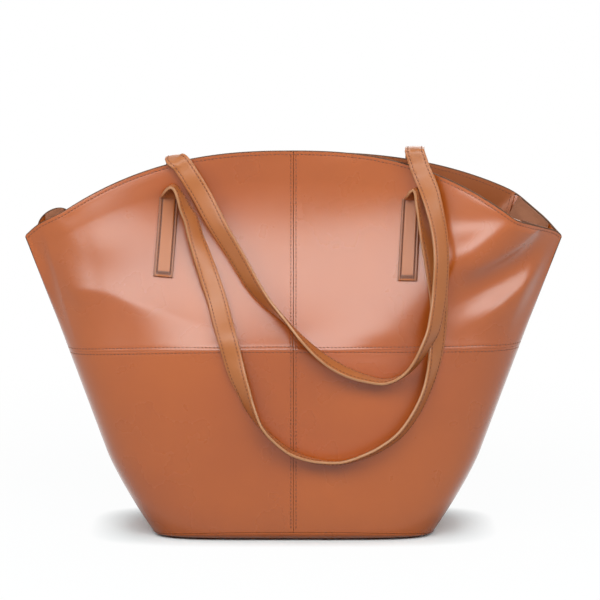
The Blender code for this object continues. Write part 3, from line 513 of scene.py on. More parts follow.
def foldRelief(place):
    # Each ridge is a bell to either side of its crest. Towards the corner it is lower by as much as
    # it is narrower, and it fades out at its other end. Low waves run over all of the leather.
    x, z = place[..., 0], place[..., 2]
    sway = waves["sway"] * np.sin(waves["swayUp"] * z)
    height = waves["height"] * np.sin(waves["across"] * x + sway) * np.cos(waves["upward"] * z)
    for fold in folds:
        line = crestLine(fold)
        begin, way = line[:-1], np.diff(line, axis=0)
        offset = np.stack([x, z], axis=-1)[..., None, :] - begin
        share = np.clip((offset * way).sum(axis=-1) / (way ** 2).sum(axis=-1), 0, 1)
        offset = offset - share[..., None] * way
        distance = np.linalg.norm(offset, axis=-1)
        nearest = distance.argmin(axis=-1)[..., None]
        away = np.take_along_axis(distance, nearest, axis=-1)[..., 0]
        over = np.take_along_axis(offset[..., 1], nearest, axis=-1)[..., 0] > 0
        along = (nearest[..., 0] + np.take_along_axis(share, nearest, axis=-1)[..., 0]) / len(way)
        above, below = between(*fold["above"], along), between(*fold["below"], along)
        crest = fold["height"] * above / fold["above"][1]
        fade = eased(np.clip((1 - along) / foldEnd, 0, 1))
        height = height + crest * fade * valley(away, np.where(over, above, below))
    return height


def bagRelief(u, v, side):
    # the folds, held at the rim, the base seam and the sides, and the slack
    free = np.clip((2 - v) / held["rim"], 0, 1) * np.clip(v / held["base"], 0, 1)
    free = free * np.clip((1 - np.abs(u)) / held["side"], 0, 1)
    return foldRelief(skinPoint(u, v, side)) * eased(free) + slackRelief(u, v)


def panelRelief(u, v, side):
    # how far the leather stands off its smooth form: folds, seams pulled in, rows pressed in
    shape = panelShape
    place = skinPoint(u, v, side)
    fromMiddle = np.abs(place[..., 0])
    fromCross = np.abs(place[..., 2] - seamZ(u))
    fromRim = (2 - v) * (rimZ(u, side) - seamZ(u))
    fromSeam = np.minimum(fromMiddle, fromCross)
    height = bagRelief(u, v, side) - shape["seamDip"] * valley(fromSeam, shape["seamDipWidth"])
    height += shape["puff"] * valley(fromSeam - shape["puffOffset"], shape["puffWidth"])
    for distance in (fromMiddle - shape["stitchOffset"], fromCross - shape["stitchOffset"],
                     fromRim - shape["rimStitch"]):
        height -= shape["rowDip"] * valley(distance, shape["rowDipWidth"])
    return height


def endDense(count, power=1.6):
    # shares from 0 to 1, closer together at both ends by a power
    s = np.linspace(-1, 1, count)
    return 0.5 + 0.5 * np.sign(s) * (1 - (1 - np.abs(s)) ** power)


gap = bag["seamGap"] / 2
for side in (front, back):
    for hand in (-1, 1):
        across = between(gap / bag["waistHalfWidth"], 1, endDense(panelShape["columns"]))
        seam = gap / 3 / bag["seamHeight"]
        for level, low, high in (("lower", 0.0, 1 - seam), ("upper", 1 + seam, 2.0)):
            u, v = np.meshgrid(hand * across, between(low, high, endDense(panelShape["rows"])))
            relief = panelRelief(u, v, side)
            outer = skinLayer(u, v, side, -relief)
            inner = skinLayer(u, v, side, bag["leather"] - relief)
            for face in (outer, inner):
                face[..., 1] = side * np.maximum(side * face[..., 1], gap)
            node = f"{sideNames[side]}_{level}_{handNames[hand]}_panel"
            piece = sheetPiece(node + "_leather", outer, inner, panelLeather)
            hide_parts(node)
            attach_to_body(piece, "bag")
print("panels ready")

baseShape = {"columns": 81, "turns": 14, "rings": 5, "closing": 0.999}


def baseRing(inset, z, lift):
    # the base seam in plan, drawn in by an inset, at a share z of the seam's height
    bend = np.sin(np.linspace(-math.pi / 2, math.pi / 2, baseShape["columns"]))
    ring = np.concatenate([skinPoint(bend, 0.0, front), skinPoint(bend[::-1], 0.0, back)])
    u = np.concatenate([bend, bend[::-1]])
    ring[:, :2] *= 1 - inset / ring[:, :2].max(axis=0)
    ring[:, 2] = (baseSeamZ(u) - bag["seamGap"]) * z + lift
    return ring


def baseFace(depth):
    # one face of the base, a depth inside the leather: its rolled edge, then its flat middle
    turn = np.radians(np.linspace(0, 90, baseShape["turns"]))
    edge = [baseRing(bag["baseRoll"] * (1 - math.cos(a)) + depth * math.cos(a), 1 - math.sin(a),
                     depth * math.sin(a)) for a in turn]
    shrinks = np.linspace(0, baseShape["closing"], baseShape["rings"] + 1)[1:, None, None]
    return np.concatenate([edge, edge[-1] * (1 - shrinks * [1, 1, 0])])


rings = np.concatenate([baseFace(bag["leather"])[::-1], baseFace(0.0)])
piece = tubePiece("base_leather", rings, panelLeather)
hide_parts("base_panel")
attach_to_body(piece, "bag")
print("base ready")

edgePaint = leatherMaterial("edgePaint", {
    "dark": (0.110, 0.045, 0.024, 1), "light": (0.170, 0.078, 0.044, 1), "cloudScale": 70.0,
    "grainScale": 1600.0, "grain": 0.15, "roughness": (0.70, 0.80), "specular": 0.15})
# until: the share of the half width up to which the painted edge covers the facing as well
rimEdge = {"columns": 260, "halfThick": (0.00215, 0.00120), "halfHigh": 0.00080, "until": 0.845,
           "narrowOver": 0.012, "end": 0.997, "taperOver": 0.02, "thinnest": 0.15, "proud": 0.00005,
           "sunk": 0.00015}
sideSeam = {"rows": 140, "low": 0.01, "high": 1.99, "inset": 0.0003, "halfOut": 0.0007, "overlap": 0.0003}


def edgeRings(centre, wideWay, halfWide, highWay, halfHigh, around=12):
    # ovals carried along a line, with a half width for each of its places
    angle = circleAngles(around)[:, None]
    wide = wideWay[:, None] * halfWide[:, None, None] * np.cos(angle)
    return centre[:, None] + wide + np.array(highWay) * halfHigh * np.sin(angle)


for side in (front, back):
    u = rimEdge["end"] * (2 * endDense(rimEdge["columns"], 1.2) - 1)
    narrow = np.clip((np.abs(u) - rimEdge["until"]) / rimEdge["narrowOver"] + 0.5, 0, 1)
    half = between(*rimEdge["halfThick"], narrow)
    half = half * np.clip((1 - np.abs(u)) / rimEdge["taperOver"], rimEdge["thinnest"], 1)
    inwards = -skinNormal(u, 2.0, side) * [1, 1, 0]
    centre = skinPoint(u, 2.0, side) + inwards * (half - rimEdge["proud"])[:, None] - [0, 0, rimEdge["sunk"]]
    rings = edgeRings(centre, inwards, half, (0, 0, 1), rimEdge["halfHigh"])
    piece = tubePiece(f"{sideNames[side]}_rim_edge", rings, edgePaint)
    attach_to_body(piece, "bag")

for hand in (-1, 1):
    v = np.linspace(sideSeam["low"], sideSeam["high"], sideSeam["rows"])
    edge = skinPoint(hand, v, back)
    centre = edge * [1, 0, 1] - [hand * sideSeam["inset"], 0, 0]
    half = edge[:, 1] + sideSeam["overlap"]
    rings = edgeRings(centre, np.array([[0, 1, 0]]), half, (1, 0, 0), sideSeam["halfOut"])
    piece = tubePiece(f"{handNames[hand]}_side_seam", rings, edgePaint)
    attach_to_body(piece, "bag")
print("rim edges and side seams ready")

facingShape = {"height": 0.044, "end": 0.84, "columns": 150, "rows": 26, "corner": 0.009,
               "cornerShare": 0.045, "glue": 0.00005}
# under: how far the lining reaches up behind the facing, and top: how far up it stands beside the
# facing's ends, both as shares of the height above the cross seam
liningShape = {"columns": 150, "rows": 60, "endBase": 0.9995, "endRim": (0.93, 0.965), "drawnFrom": 0.91,
               "besideOver": 0.02, "under": 0.03, "top": 1.996, "slack": 0.0040, "slackFrom": 0.70,
               "slackWidth": 0.27, "ripple": 0.0007, "rippleTo": 1.9, "across": 38.0, "sway": 5.0,
               "swayUp": 6.0, "upward": 9.0, "cut": (0.5200, 0.2920), "cutArea": 0.1045}


def facingBottom(u, side):
    # lower edge of the facing, its corners rounded off at both ends
    rise = rimZ(u, side) - seamZ(u)
    left = np.clip((facingShape["end"] - np.abs(u)) / facingShape["cornerShare"], 0, 1)
    lifted = facingShape["corner"] * (1 - np.sqrt(1 - (1 - left) ** 2))
    return 2 - (facingShape["height"] - lifted) / rise


def liningPlaces(side):
    # the u and v of the lining, its ends drawn in from the sides of the bag
    shape = liningShape
    share = np.linspace(-1, 1, shape["columns"])
    span = np.sin(math.pi / 2 * share)
    beside = np.clip((np.abs(span) - facingShape["end"]) / shape["besideOver"], 0, 1)
    bottom = facingBottom(np.clip(span, -facingShape["end"], facingShape["end"]), side)
    top = between(bottom + shape["under"], shape["top"], beside)
    rows = np.linspace(0, 1, shape["rows"])[:, None]
    u, v = span + 0 * rows, between(2 * bag["linerDepth"] / bag["seamHeight"], top, rows)
    end = between(shape["endBase"], byHand(u, shape["endRim"]), np.clip(v - 1, 0, 1))
    beyond = (np.abs(u) - shape["drawnFrom"]) / (1 - shape["drawnFrom"])
    return np.where(beyond > 0, np.sign(u) * between(shape["drawnFrom"], end, beyond), u), v


def liningDepth(u, v):
    # how deep the lining lies: behind the facing, with slack beside the corners and a low ripple
    shape = liningShape
    share = np.clip((np.abs(u) - shape["slackFrom"]) / shape["slackWidth"], 0, 1)
    loose = np.sin(math.pi * share) ** 2 * np.sqrt(np.clip(v - 1, 0, 1))
    sway = shape["sway"] * np.sin(shape["swayUp"] * v)
    ripple = (1 + np.sin(shape["across"] * u + sway) * np.sin(shape["upward"] * v)) * (v < shape["rippleTo"])
    return bag["linerDepth"] + bag["facing"] + shape["slack"] * loose + shape["ripple"] * ripple


for side in (front, back):
    span = facingShape["end"] * (2 * endDense(facingShape["columns"], 1.35) - 1)
    rows = endDense(facingShape["rows"])[:, None]
    u, v = span + 0 * rows, between(facingBottom(span, side), 2, rows)
    outer = skinLayer(u, v, side, np.full_like(u, bag["leather"] + facingShape["glue"]))
    inner = skinLayer(u, v, side, np.full_like(u, bag["linerDepth"] + bag["facing"]))
    name = f"{sideNames[side]}_facing"
    piece = sheetPiece(name + "_leather", outer, inner, facingLeather, 0.0005)
    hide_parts(name)
    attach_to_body(piece, "bag")

    u, v = liningPlaces(side)
    depth = liningDepth(u, v)
    outer = skinLayer(u, v, side, depth)
    inner = skinLayer(u, v, side, depth + bag["lining"])
    outer[..., 1] = side * np.maximum(side * outer[..., 1], gap + bag["lining"])
    inner[..., 1] = side * np.maximum(side * inner[..., 1], gap)
    name = f"{sideNames[side]}_lining"
    piece = sheetPiece(name + "_cloth", outer, inner, liningCloth, 0.0001)
    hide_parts(name)
    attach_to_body(piece, "bag")

# the cloth over the base board, with a faint wave
baseCloth = {"rows": 24, "board": 0.0020, "wave": 0.0003, "acrossWave": 70.0, "backWave": 90.0,
             "cut": (0.2485, 0.0920), "cutArea": 0.0183}
level = bag["leather"] + bag["seamGap"] + baseCloth["board"] + bag["seamGap"]
ring = baseRing(bag["baseRoll"], 0.0, level)
frontLine, backLine = ring[:baseShape["columns"]], ring[baseShape["columns"]:][::-1]
share = np.linspace(0, 1, baseCloth["rows"])[:, None, None]
under = between(frontLine[1:-1], backLine[1:-1], share)
waved = np.sin(baseCloth["acrossWave"] * under[..., 0]) * np.sin(baseCloth["backWave"] * under[..., 1])
under[..., 2] += baseCloth["wave"] * (1 + waved)
over = under + [0, 0, bag["lining"]]
piece = sheetPiece("base_lining_cloth", over, under, liningCloth, 0.0001)
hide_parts("base_lining")
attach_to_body(piece, "bag")
print("facings and linings ready")

# rings: places along a stitch as shares of its length, each with its share of the radius
stitch = {"pitch": 0.0033, "length": 0.0023, "radius": 0.00036, "flatness": 0.8, "sides": 6,
          "lift": 0.00002, "rings": ((-0.5, 0.35), (-0.32, 1.0), (0.32, 1.0), (0.5, 0.35))}
# where the rows end, as shares of the height and of the width, and on the facing in shares as well
rowEnds = {"low": 0.02, "high": 1.985, "side": 0.995}
facingRows = {"end": 0.015, "side": 0.013, "above": 0.022, "high": 1.975}


def evenlyAlong(points, normals):
    # stitch middles at an even pitch along a line, with the line's direction and the surface's normal
    run = runAlong(points)
    count = max(int(run[-1] / stitch["pitch"]), 1)
    at = (np.arange(count) + 0.5) * run[-1] / count
    ends = [np.stack([np.interp(at + shift, run, column) for column in points.T], axis=-1)
            for shift in (-stitch["length"] / 2, stitch["length"] / 2)]
    middle = (ends[0] + ends[1]) / 2
    normal = unit(np.stack([np.interp(at, run, column) for column in normals.T], axis=-1))
    return middle, unit(ends[1] - ends[0]), normal


def stitchPiece(name, runs, attach):
    # one mesh of short rounded threads, laid along every run of points and normals
    middle, along, normal = (np.concatenate(part) for part in zip(*(evenlyAlong(*run) for run in runs)))
    side = unit(np.cross(along, normal))
    angle = np.linspace(0, 2 * math.pi, stitch["sides"], endpoint=False)
    lengths, radii = (np.array(column) for column in zip(*stitch["rings"]))
    ring = np.stack([np.cos(angle), stitch["flatness"] * np.sin(angle)], axis=-1)
    outwards = side[:, None, None] * ring[:, :1] + normal[:, None, None] * ring[:, 1:]
    thread = (middle + normal * stitch["lift"])[:, None, None]
    thread = thread + along[:, None, None] * (lengths * stitch["length"])[:, None, None]
    thread = thread + stitch["radius"] * radii[:, None, None] * outwards
    faces = gridFaces(len(lengths), stitch["sides"], closeColumns=True)
    caps = np.array([[0, 1, 4, 5], [1, 2, 3, 4]])
    size = len(lengths) * stitch["sides"]
    faces = np.concatenate([faces, caps[:, ::-1], caps + size - stitch["sides"]])
    faces = (faces + size * np.arange(len(middle))[:, None, None]).reshape(-1, 4)
    attach(newPiece(name, thread, faces, threadFibre))


def skinRun(u, v, side, off=0.0):
    # a line on the outside of the panels, or, where off is given, on a face that lies off inwards
    # of it, with the normal turned inwards
    u, v = np.broadcast_arrays(u, v)
    depth = np.full(u.shape, off) if off else -bagRelief(u, v, side)
    points = skinLayer(u, v, side, depth)
    normals = skinNormal(u, v, side) * (-1 if off else 1)
    points[..., 1] = side * np.maximum(side * points[..., 1], gap)
    return points, normals


def seamRuns():
    # rows beside the middle seam and the cross seam, and the row under the rim
    runs = []
    offset = panelShape["stitchOffset"]
    for side in (front, back):
        v = np.concatenate([np.linspace(rowEnds["low"], 1, 60), np.linspace(1, rowEnds["high"], 90)[1:]])
        for hand in (-1, 1):
            z = skinPoint(0.0 * v, v, side)[..., 2]
            widthZ = np.where(v <= 1, z, between(bag["seamHeight"], bag["tipHeight"], v - 1))
            runs.append(skinRun(hand * offset / halfWidth(widthZ), v, side))
        u = rowEnds["side"] * np.linspace(-1, 1, 200)
        for way in (-1, 1):
            height = seamZ(u) - baseSeamZ(u) if way < 0 else rimZ(u, side) - seamZ(u)
            runs.append(skinRun(u, 1 + way * offset / height, side))
        rim = 2 - panelShape["rimStitch"] / (rimZ(u, side) - seamZ(u))
        runs.append(skinRun(u, rim, side))
    return runs


def facingRuns():
    # the same rim row seen on the facing, and a row round its lower edge and ends
    runs = []
    inside = bag["linerDepth"] + bag["facing"]
    for side in (front, back):
        u = (facingShape["end"] - facingRows["end"]) * np.linspace(-1, 1, 160)
        inset = panelShape["rimStitch"] / (rimZ(u, side) - seamZ(u))
        for v in (2 - inset, facingBottom(u, side) + inset):
            runs.append(skinRun(u, v, side, inside))
        for hand in (-1, 1):
            edge = np.full(40, hand * (facingShape["end"] - facingRows["side"]))
            low = facingBottom(edge, side) + facingRows["above"]
            v = between(low, facingRows["high"], np.linspace(0, 1, 40))
            runs.append(skinRun(edge, v, side, inside))
    return runs


def onBag(piece):
    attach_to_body(piece, "bag")


def stitchStrap(name, path, across, face, wide, attach):
    # a row near each edge, on both faces
    runs = []
    keep = slice(4, -4)
    for edge in (-1, 1):
        offset = across * (edge * strap["grooveAt"] * strap["width"] / 2 * wide)[:, None]
        for normal in (-face, face):
            lift = normal * strap["thickness"] / 2 * strap["stitchHeight"]
            runs.append(((path + offset + lift)[keep], normal[keep]))
    stitchPiece(name + "_stitches", runs, attach)


tabStitchRuns = []


def stitchTab(path, across, face):
    # two long sides and a lower bar inside the edges of a sewn strap end
    normal = face * np.sign(face[:, 1:2] * path[0, 1])
    lift = normal * strap["thickness"] / 2 * strap["stitchHeight"]
    inset = strap["width"] / 2 * (1 - strap["grooveAt"])
    run = runAlong(path)
    keep = (run > inset) & (run < strap["tabLength"])
    sides = []
    for edge in (-1, 1):
        offset = across * (edge * strap["grooveAt"] * strap["width"] / 2)
        sides.append((path + offset + lift)[keep])
        tabStitchRuns.append((sides[-1], normal[keep]))
    bar = np.linspace(sides[0][0], sides[1][0], 12)
    tabStitchRuns.append((bar, np.repeat(normal[keep][:1], 12, axis=0)))


stitchPiece("seam_stitches", seamRuns(), onBag)
stitchPiece("facing_stitches", facingRuns(), onBag)
print("seam stitches ready")

strap = {
    "width": 0.0165, "thickness": 0.0030, "profile": 64, "roundness": 5.0, "dome": 0.22, "groove": 0.16,
    "tabGroove": 0.45, "grooveAt": 0.70, "grooveWidth": 0.060, "stitchHeight": 0.98, "stations": 300,
    "narrowAtFold": (0.88, 0.80), "widenOver": 0.034, "crestTilt": 0.12, "tiltOver": 0.015,
    "anchor": {front: (-0.1055, 0.1010), back: (-0.1010, 0.1045)}, "anchorLean": 0.0045,
    "tabLength": 0.0720, "foldBelowRim": 0.0345, "foldRadius": 0.0027, "clearance": 0.0005,
    "archRise": (0.0100, 0.0160), "archBend": 0.0080, "archEnd": 115.0, "archBlend": 0.012,
    "jointGap": 0.0006, "stepFromTab": 0.0002,
    "frontDrop": 0.2220, "backDrop": 0.1706, "backHangBelowRim": 0.0175, "filling": 0.92,
}
foldZ = bag["rimHeight"] - strap["foldBelowRim"]

# across as a share of the way between the anchors, down as a share of the drop, gap to the
# panel in millimetres, and twist in degrees
frontRoute = np.array([
    (0.066, 0.056, 3.6, 61), (0.088, 0.095, 2.6, 51), (0.100, 0.133, 1.8, 46), (0.112, 0.172, 1.2, 43),
    (0.142, 0.250, 1.0, 27), (0.166, 0.313, 1.0, 12), (0.198, 0.397, 1.0, 0), (0.220, 0.468, 1.0, -3),
    (0.243, 0.537, 1.0, -8), (0.265, 0.611, 1.0, -15), (0.283, 0.667, 1.0, -28), (0.306, 0.722, 1.0, -45),
    (0.338, 0.797, 1.1, -62), (0.389, 0.873, 1.2, -84), (0.481, 0.950, 1.2, -90), (0.571, 0.986, 1.2, -86),
    (0.660, 1.000, 1.2, -78), (0.722, 0.997, 1.2, -76), (0.787, 0.979, 1.2, -73), (0.864, 0.947, 1.2, -70),
    (0.946, 0.892, 1.2, -68), (1.011, 0.811, 1.2, -66), (1.056, 0.721, 1.2, -64), (1.084, 0.624, 1.2, -50),
    (1.099, 0.521, 1.0, -34), (1.105, 0.408, 1.0, -26), (1.093, 0.314, 1.0, -22), (1.079, 0.232, 1.0, -24),
    (1.060, 0.155, 1.6, -40), (1.047, 0.100, 2.0, -52), (1.037, 0.062, 2.6, -60)])
backRoute = np.array([
    (0.024, -0.052, 3.8, 0), (0.044, -0.021, 5.2, 0), (0.070, 0.026, 7.0, 0), (0.111, 0.107, 8.5, 0),
    (0.153, 0.199, 9.0, -8), (0.195, 0.286, 8.0, -25), (0.241, 0.373, 6.5, -33), (0.284, 0.459, 4.5, -37),
    (0.329, 0.545, 3.0, -45), (0.377, 0.616, 2.0, -58), (0.426, 0.672, 1.6, -72), (0.478, 0.732, 1.4, -84),
    (0.535, 0.801, 1.4, -95), (0.600, 0.870, 1.4, -104), (0.662, 0.921, 1.4, -108), (0.731, 0.962, 1.4, -105),
    (0.805, 0.989, 1.4, -98), (0.862, 1.000, 1.6, -92), (0.915, 0.984, 2.8, -84), (0.964, 0.944, 4.5, -76),
    (1.000, 0.887, 8.8, -68), (1.030, 0.820, 12.6, -60), (1.061, 0.743, 14.6, -48), (1.079, 0.647, 13.6, -42),
    (1.090, 0.546, 12.0, -38), (1.096, 0.411, 10.0, -40), (1.092, 0.307, 10.0, -40),
    (1.081, 0.221, 10.0, -36),
    (1.060, 0.117, 9.5, -22), (1.044, 0.056, 8.0, -6), (1.026, 0.005, 5.5, 0), (1.012, -0.034, 4.0, 0),
    (1.006, -0.058, 3.0, 0)])


def slackDepthAt(x, z):
    # how far the front leather with its folds and slack stands from the middle plane
    u, v = shareAt(x, z, front)
    return -skinLayer(u, v, front, -bagRelief(u, v, front))[..., 1]


def edgesOf(x):
    return x + strap["width"] / 2 * np.array([-1, 0, 1])


def rimPlaces(x, side):
    # the rim above the strap's two edges and its middle
    u, _ = shareAt(edgesOf(x), foldZ, side)
    return skinPoint(u, 2.0, side)


def foldLine():
    # Both ends of the line about which the front strap folds, clear of the panel over the strap's
    # whole width. The line's slope and the room it needs depend on each other, hence the rounds.
    left, right = strap["anchor"][front]
    reach = strap["foldRadius"] + strap["thickness"] / 2 + strap["clearance"]
    slope = 0.0
    for _ in range(6):
        near = [np.max(depthAt(edgesOf(x), foldZ - reach) - slope * (edgesOf(x) - x)) for x in (left, right)]
        slope = (near[1] - near[0]) / (right - left)
    return np.array([(x, -(depth + reach), foldZ) for x, depth in zip((left, right), near)])


def archLine():
    # both ends of the line about which the back strap swings, above and before the front rim
    tilt = math.radians(strap["archEnd"] - 90)
    reach = strap["thickness"] / 2 + strap["jointGap"]
    droop = strap["archBend"] * (1 - math.cos(tilt)) + reach * math.sin(tilt)
    ends = []
    for x, rise in zip(strap["anchor"][back], strap["archRise"]):
        rims = rimPlaces(x, front)
        near = -rims[:, 1].min() + strap["clearance"] + strap["thickness"] / 2
        ends.append((x, -near, rims[:, 2].max() + rise - strap["thickness"] / 2 - droop))
    return np.array(ends)


def frameOf(line):
    # unit vectors along a line, and backwards and upwards square to it
    along = unit(line[1] - line[0])
    backwards = unit(np.cross([0, 0, 1], along))
    return along, backwards, np.cross(along, backwards)


def smoothRows(rows, stations):
    # Catmull-Rom curve through rows of values, at even steps along its length in space
    padded = np.vstack([2 * rows[0] - rows[1], rows, 2 * rows[-1] - rows[-2]])
    t = np.linspace(0, 1, 16, endpoint=False)[None, :, None]
    p0, p1, p2, p3 = (padded[i:len(padded) - 3 + i, None, :] for i in range(4))
    curve = 0.5 * (2 * p1 + (p2 - p0) * t + (2 * p0 - 5 * p1 + 4 * p2 - p3) * t ** 2
                   + (3 * p1 - p0 - 3 * p2 + p3) * t ** 3)
    curve = np.vstack([curve.reshape(-1, rows.shape[1]), rows[-1:]])
    run = runAlong(curve[:, :3])
    even = np.linspace(0, run[-1], stations)
    return np.stack([np.interp(even, run, column) for column in curve.T], axis=-1)


def hangingRows(route, side, top, drop):
    # the route's rows as places and twists, clear of the front panel by each row's gap
    x = between(*strap["anchor"][side], route[:, 0])
    z = top - drop * route[:, 1]
    twist = np.radians(route[:, 3])
    spread = strap["width"] / 2 * np.cos(twist)
    reach = strap["width"] / 2 * np.abs(np.sin(twist)) + strap["thickness"] / 2 * np.abs(np.cos(twist))
    around = [slackDepthAt(x + across * spread, z - down * spread)
              for across, down in ((0, 0), (1, 0), (-1, 0), (0, 1))]
    depth = np.max(around, axis=0) + reach + 0.001 * route[:, 2]
    return np.stack([x, -depth, z, route[:, 3]], axis=-1)


def tabRows(side, hand, top, steps=24):
    # middle line of a sewn strap end and the skin's direction across it
    lift = bag["seamGap"] / 3 + strap["thickness"] / 2
    z = np.linspace(foldZ - strap["tabLength"], top, steps)
    x = strap["anchor"][side][(hand + 1) // 2] - strap["anchorLean"] * (foldZ - z) / strap["tabLength"]
    u, v = shareAt(edgesOf(x[:, None]), z[:, None], side)
    edges = skinLayer(u, v, side, -lift - bagRelief(u, v, side))
    return edges[:, 1], unit(edges[:, 2] - edges[:, 0])


def strapRings(path, across, wide=1.0, thick=1.0, groove=strap["groove"]):
    # A rounded flat section, domed between two pressed stitch rows, carried along a path. Its cosine
    # and sine are raised to a low power, which squares the section. U runs across, V is the length.
    angle = circleAngles(strap["profile"])
    power = 2 / strap["roundness"]
    a, b = (np.sign(turn) * np.abs(turn) ** power for turn in (np.cos(angle), np.sin(angle)))
    pressed = groove * valley(np.abs(a) - strap["grooveAt"], strap["grooveWidth"])
    b = b * (1 + strap["dome"] * (1 - a ** 2) - pressed)
    tangent = unit(np.gradient(path, axis=0))
    across = unit(across - tangent * np.sum(across * tangent, axis=1, keepdims=True))
    face = np.cross(tangent, across)
    wide, thick = (np.broadcast_to(value, len(path))[:, None] for value in (wide, thick))
    sideways = strap["width"] / 2 * wide * a
    outwards = strap["thickness"] / 2 * strap["filling"] * thick * b
    rings = path[:, None] + across[:, None] * sideways[..., None] + face[:, None] * outwards[..., None]
    uvs = np.stack(np.broadcast_arrays(0.5 + 0.5 * a, runAlong(path)[:, None]), axis=-1)
    return rings, uvs, face, across


def stepsToEnd(count):
    return np.minimum(np.arange(count), np.arange(count)[::-1])


def roundedEnds(count):
    # thickness shares that close off both ends over two stations
    return np.sqrt(np.clip((stepsToEnd(count) + 0.5) / 2, 0, 1))


def loopAcross(path, twist, line, free, tilt=0.0):
    # width direction: along the line at the roots and across the run where the strap is free, turned
    # towards the viewer by the twist. A tilt raises its right end at the left root.
    flat = np.cross(unit(np.gradient(path, axis=0)), [0, 1, 0])
    flat = flat / (np.linalg.norm(flat, axis=-1, keepdims=True) + 1e-6)
    along, _, upwards = frameOf(line)
    tilted = along + tilt * fromRoots(path, strap["tiltOver"])[:, None] * upwards
    root = np.where(path[:, :1] < 0, tilted, -along)
    turn, free = np.radians(twist)[:, None], np.clip(free, 0, 1)[:, None]
    return between(root, flat, free) * np.cos(turn) + np.array([0, 1, 0]) * np.sin(turn)


def fromRoots(path, reach):
    # 0 at both ends of a path, rising to 1 over a reach
    run = runAlong(path)
    return eased(np.clip(np.minimum(run, run[-1] - run) / reach, 0, 1))


foldEnds, archEnds = foldLine(), archLine()


def frontBlend(piece):
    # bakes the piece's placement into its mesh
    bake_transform(piece)


def backBlend(piece):
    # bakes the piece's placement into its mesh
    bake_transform(piece)


# how the front strap twists up from its sewn ends and over: right, back and up from each end of
# the joint line in metres, and twist in degrees
frontRoots = {
    -1: np.array([
        (-0.0002, -0.0018, -0.0012, 28), (-0.0003, -0.0052, 0.0024, 55), (0.0006, -0.0070, 0.0051, 76),
        (0.0029, -0.0077, 0.0062, 84), (0.0055, -0.0082, 0.0046, 82), (0.0078, -0.0086, 0.0010, 78),
        (0.0104, -0.0090, -0.0042, 70)]),
    1: np.array([
        (-0.0002, -0.0014, -0.0012, -28), (-0.0001, -0.0044, 0.0022, -52), (0.0004, -0.0058, 0.0046, -70),
        (0.0022, -0.0064, 0.0050, -74), (0.0040, -0.0068, 0.0012, -70), (0.0056, -0.0072, -0.0045, -64)]),
}


def sewnEnd(side, hand, path, across, thick):
    # the tab of a strap, with its stitches
    rings, uvs, face, across = strapRings(path, across, thick=thick, groove=strap["tabGroove"])
    stitchTab(path, across, face)
    name = f"{sideNames[side]}_strap_{handNames[hand]}_tab"
    piece = tubePiece(name + "_leather", rings, tabLeather, uvs)
    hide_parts(name)
    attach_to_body(piece, "bag")


def wholeLoop(name, rows, line, blend, tilt=0.0, fold=None, thick=1.0):
    # the hanging strap along smoothed rows, narrowed at its folds where they are given
    path = rows[:, :3]
    across = loopAcross(path, rows[:, 3], line, rows[:, 4], tilt)
    wide = np.ones(len(path))
    if fold:
        wide = between(np.where(path[:, 0] < 0, *fold), 1, fromRoots(path, strap["widenOver"]))
    rings, uvs, face, across = strapRings(path, across, wide, thick)
    stitchStrap(name, path, across, face, wide, blend)
    loop = tubePiece(name + "_leather", rings, strapLeather, uvs)
    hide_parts(name)
    blend(loop)


# sewn ends of the front strap, rounded off at their lower ends only
roots = []
for hand, end in zip((-1, 1), foldEnds):
    top = end[2] - strap["foldRadius"] - strap["thickness"] / 2 - strap["clearance"]
    path, across = tabRows(front, hand, top)
    thick = np.where(np.arange(len(path)) < len(path) / 2, roundedEnds(len(path)), 1.0)
    sewnEnd(front, hand, path, across, thick)
    start = np.append(path[-1] + [0, 0, strap["stepFromTab"]], 0.0)
    roots.append(np.vstack([start, frontRoots[hand] + np.append(end, 0.0)]))

# hanging front strap, folded over above its sewn ends
hanging = hangingRows(frontRoute, front, foldZ, strap["frontDrop"])
rows = np.vstack([roots[0], hanging, roots[1][::-1]])
free = np.zeros(len(rows))
free[len(roots[0]):-len(roots[1])] = 1.0
rows = smoothRows(np.column_stack([rows, free]), strap["stations"])
wholeLoop("front_strap", rows, foldEnds, frontBlend, fold=strap["narrowAtFold"])

# sewn ends of the back strap, up to the back rim
backRises = []
for hand, end in zip((-1, 1), archEnds):
    path, across = tabRows(back, hand, foldZ)
    rims = rimPlaces(end[0], back)
    depth = rims[:, 1].max() + strap["clearance"] + strap["thickness"] / 2
    behindRim = np.array([end[0], depth, rims[:, 2].max()])
    rise = smoothRows(np.vstack([path[-2:], behindRim]), 16)[6:]
    turning = np.linspace(0, 1, len(rise))[:, None]
    across = np.vstack([across[:-1], between(across[-1], frameOf(archEnds)[0], turning)])
    path = np.vstack([path[:-1], rise])
    sewnEnd(back, hand, path, across, roundedEnds(len(path)))
    backRises.append(behindRim)


# how far the crest of the back strap stands off the swing line's own place, as it sags and slides
crestShift = {-1: (0.0, 0.0, -0.0047), 1: (-0.0020, 0.0, 0.0)}


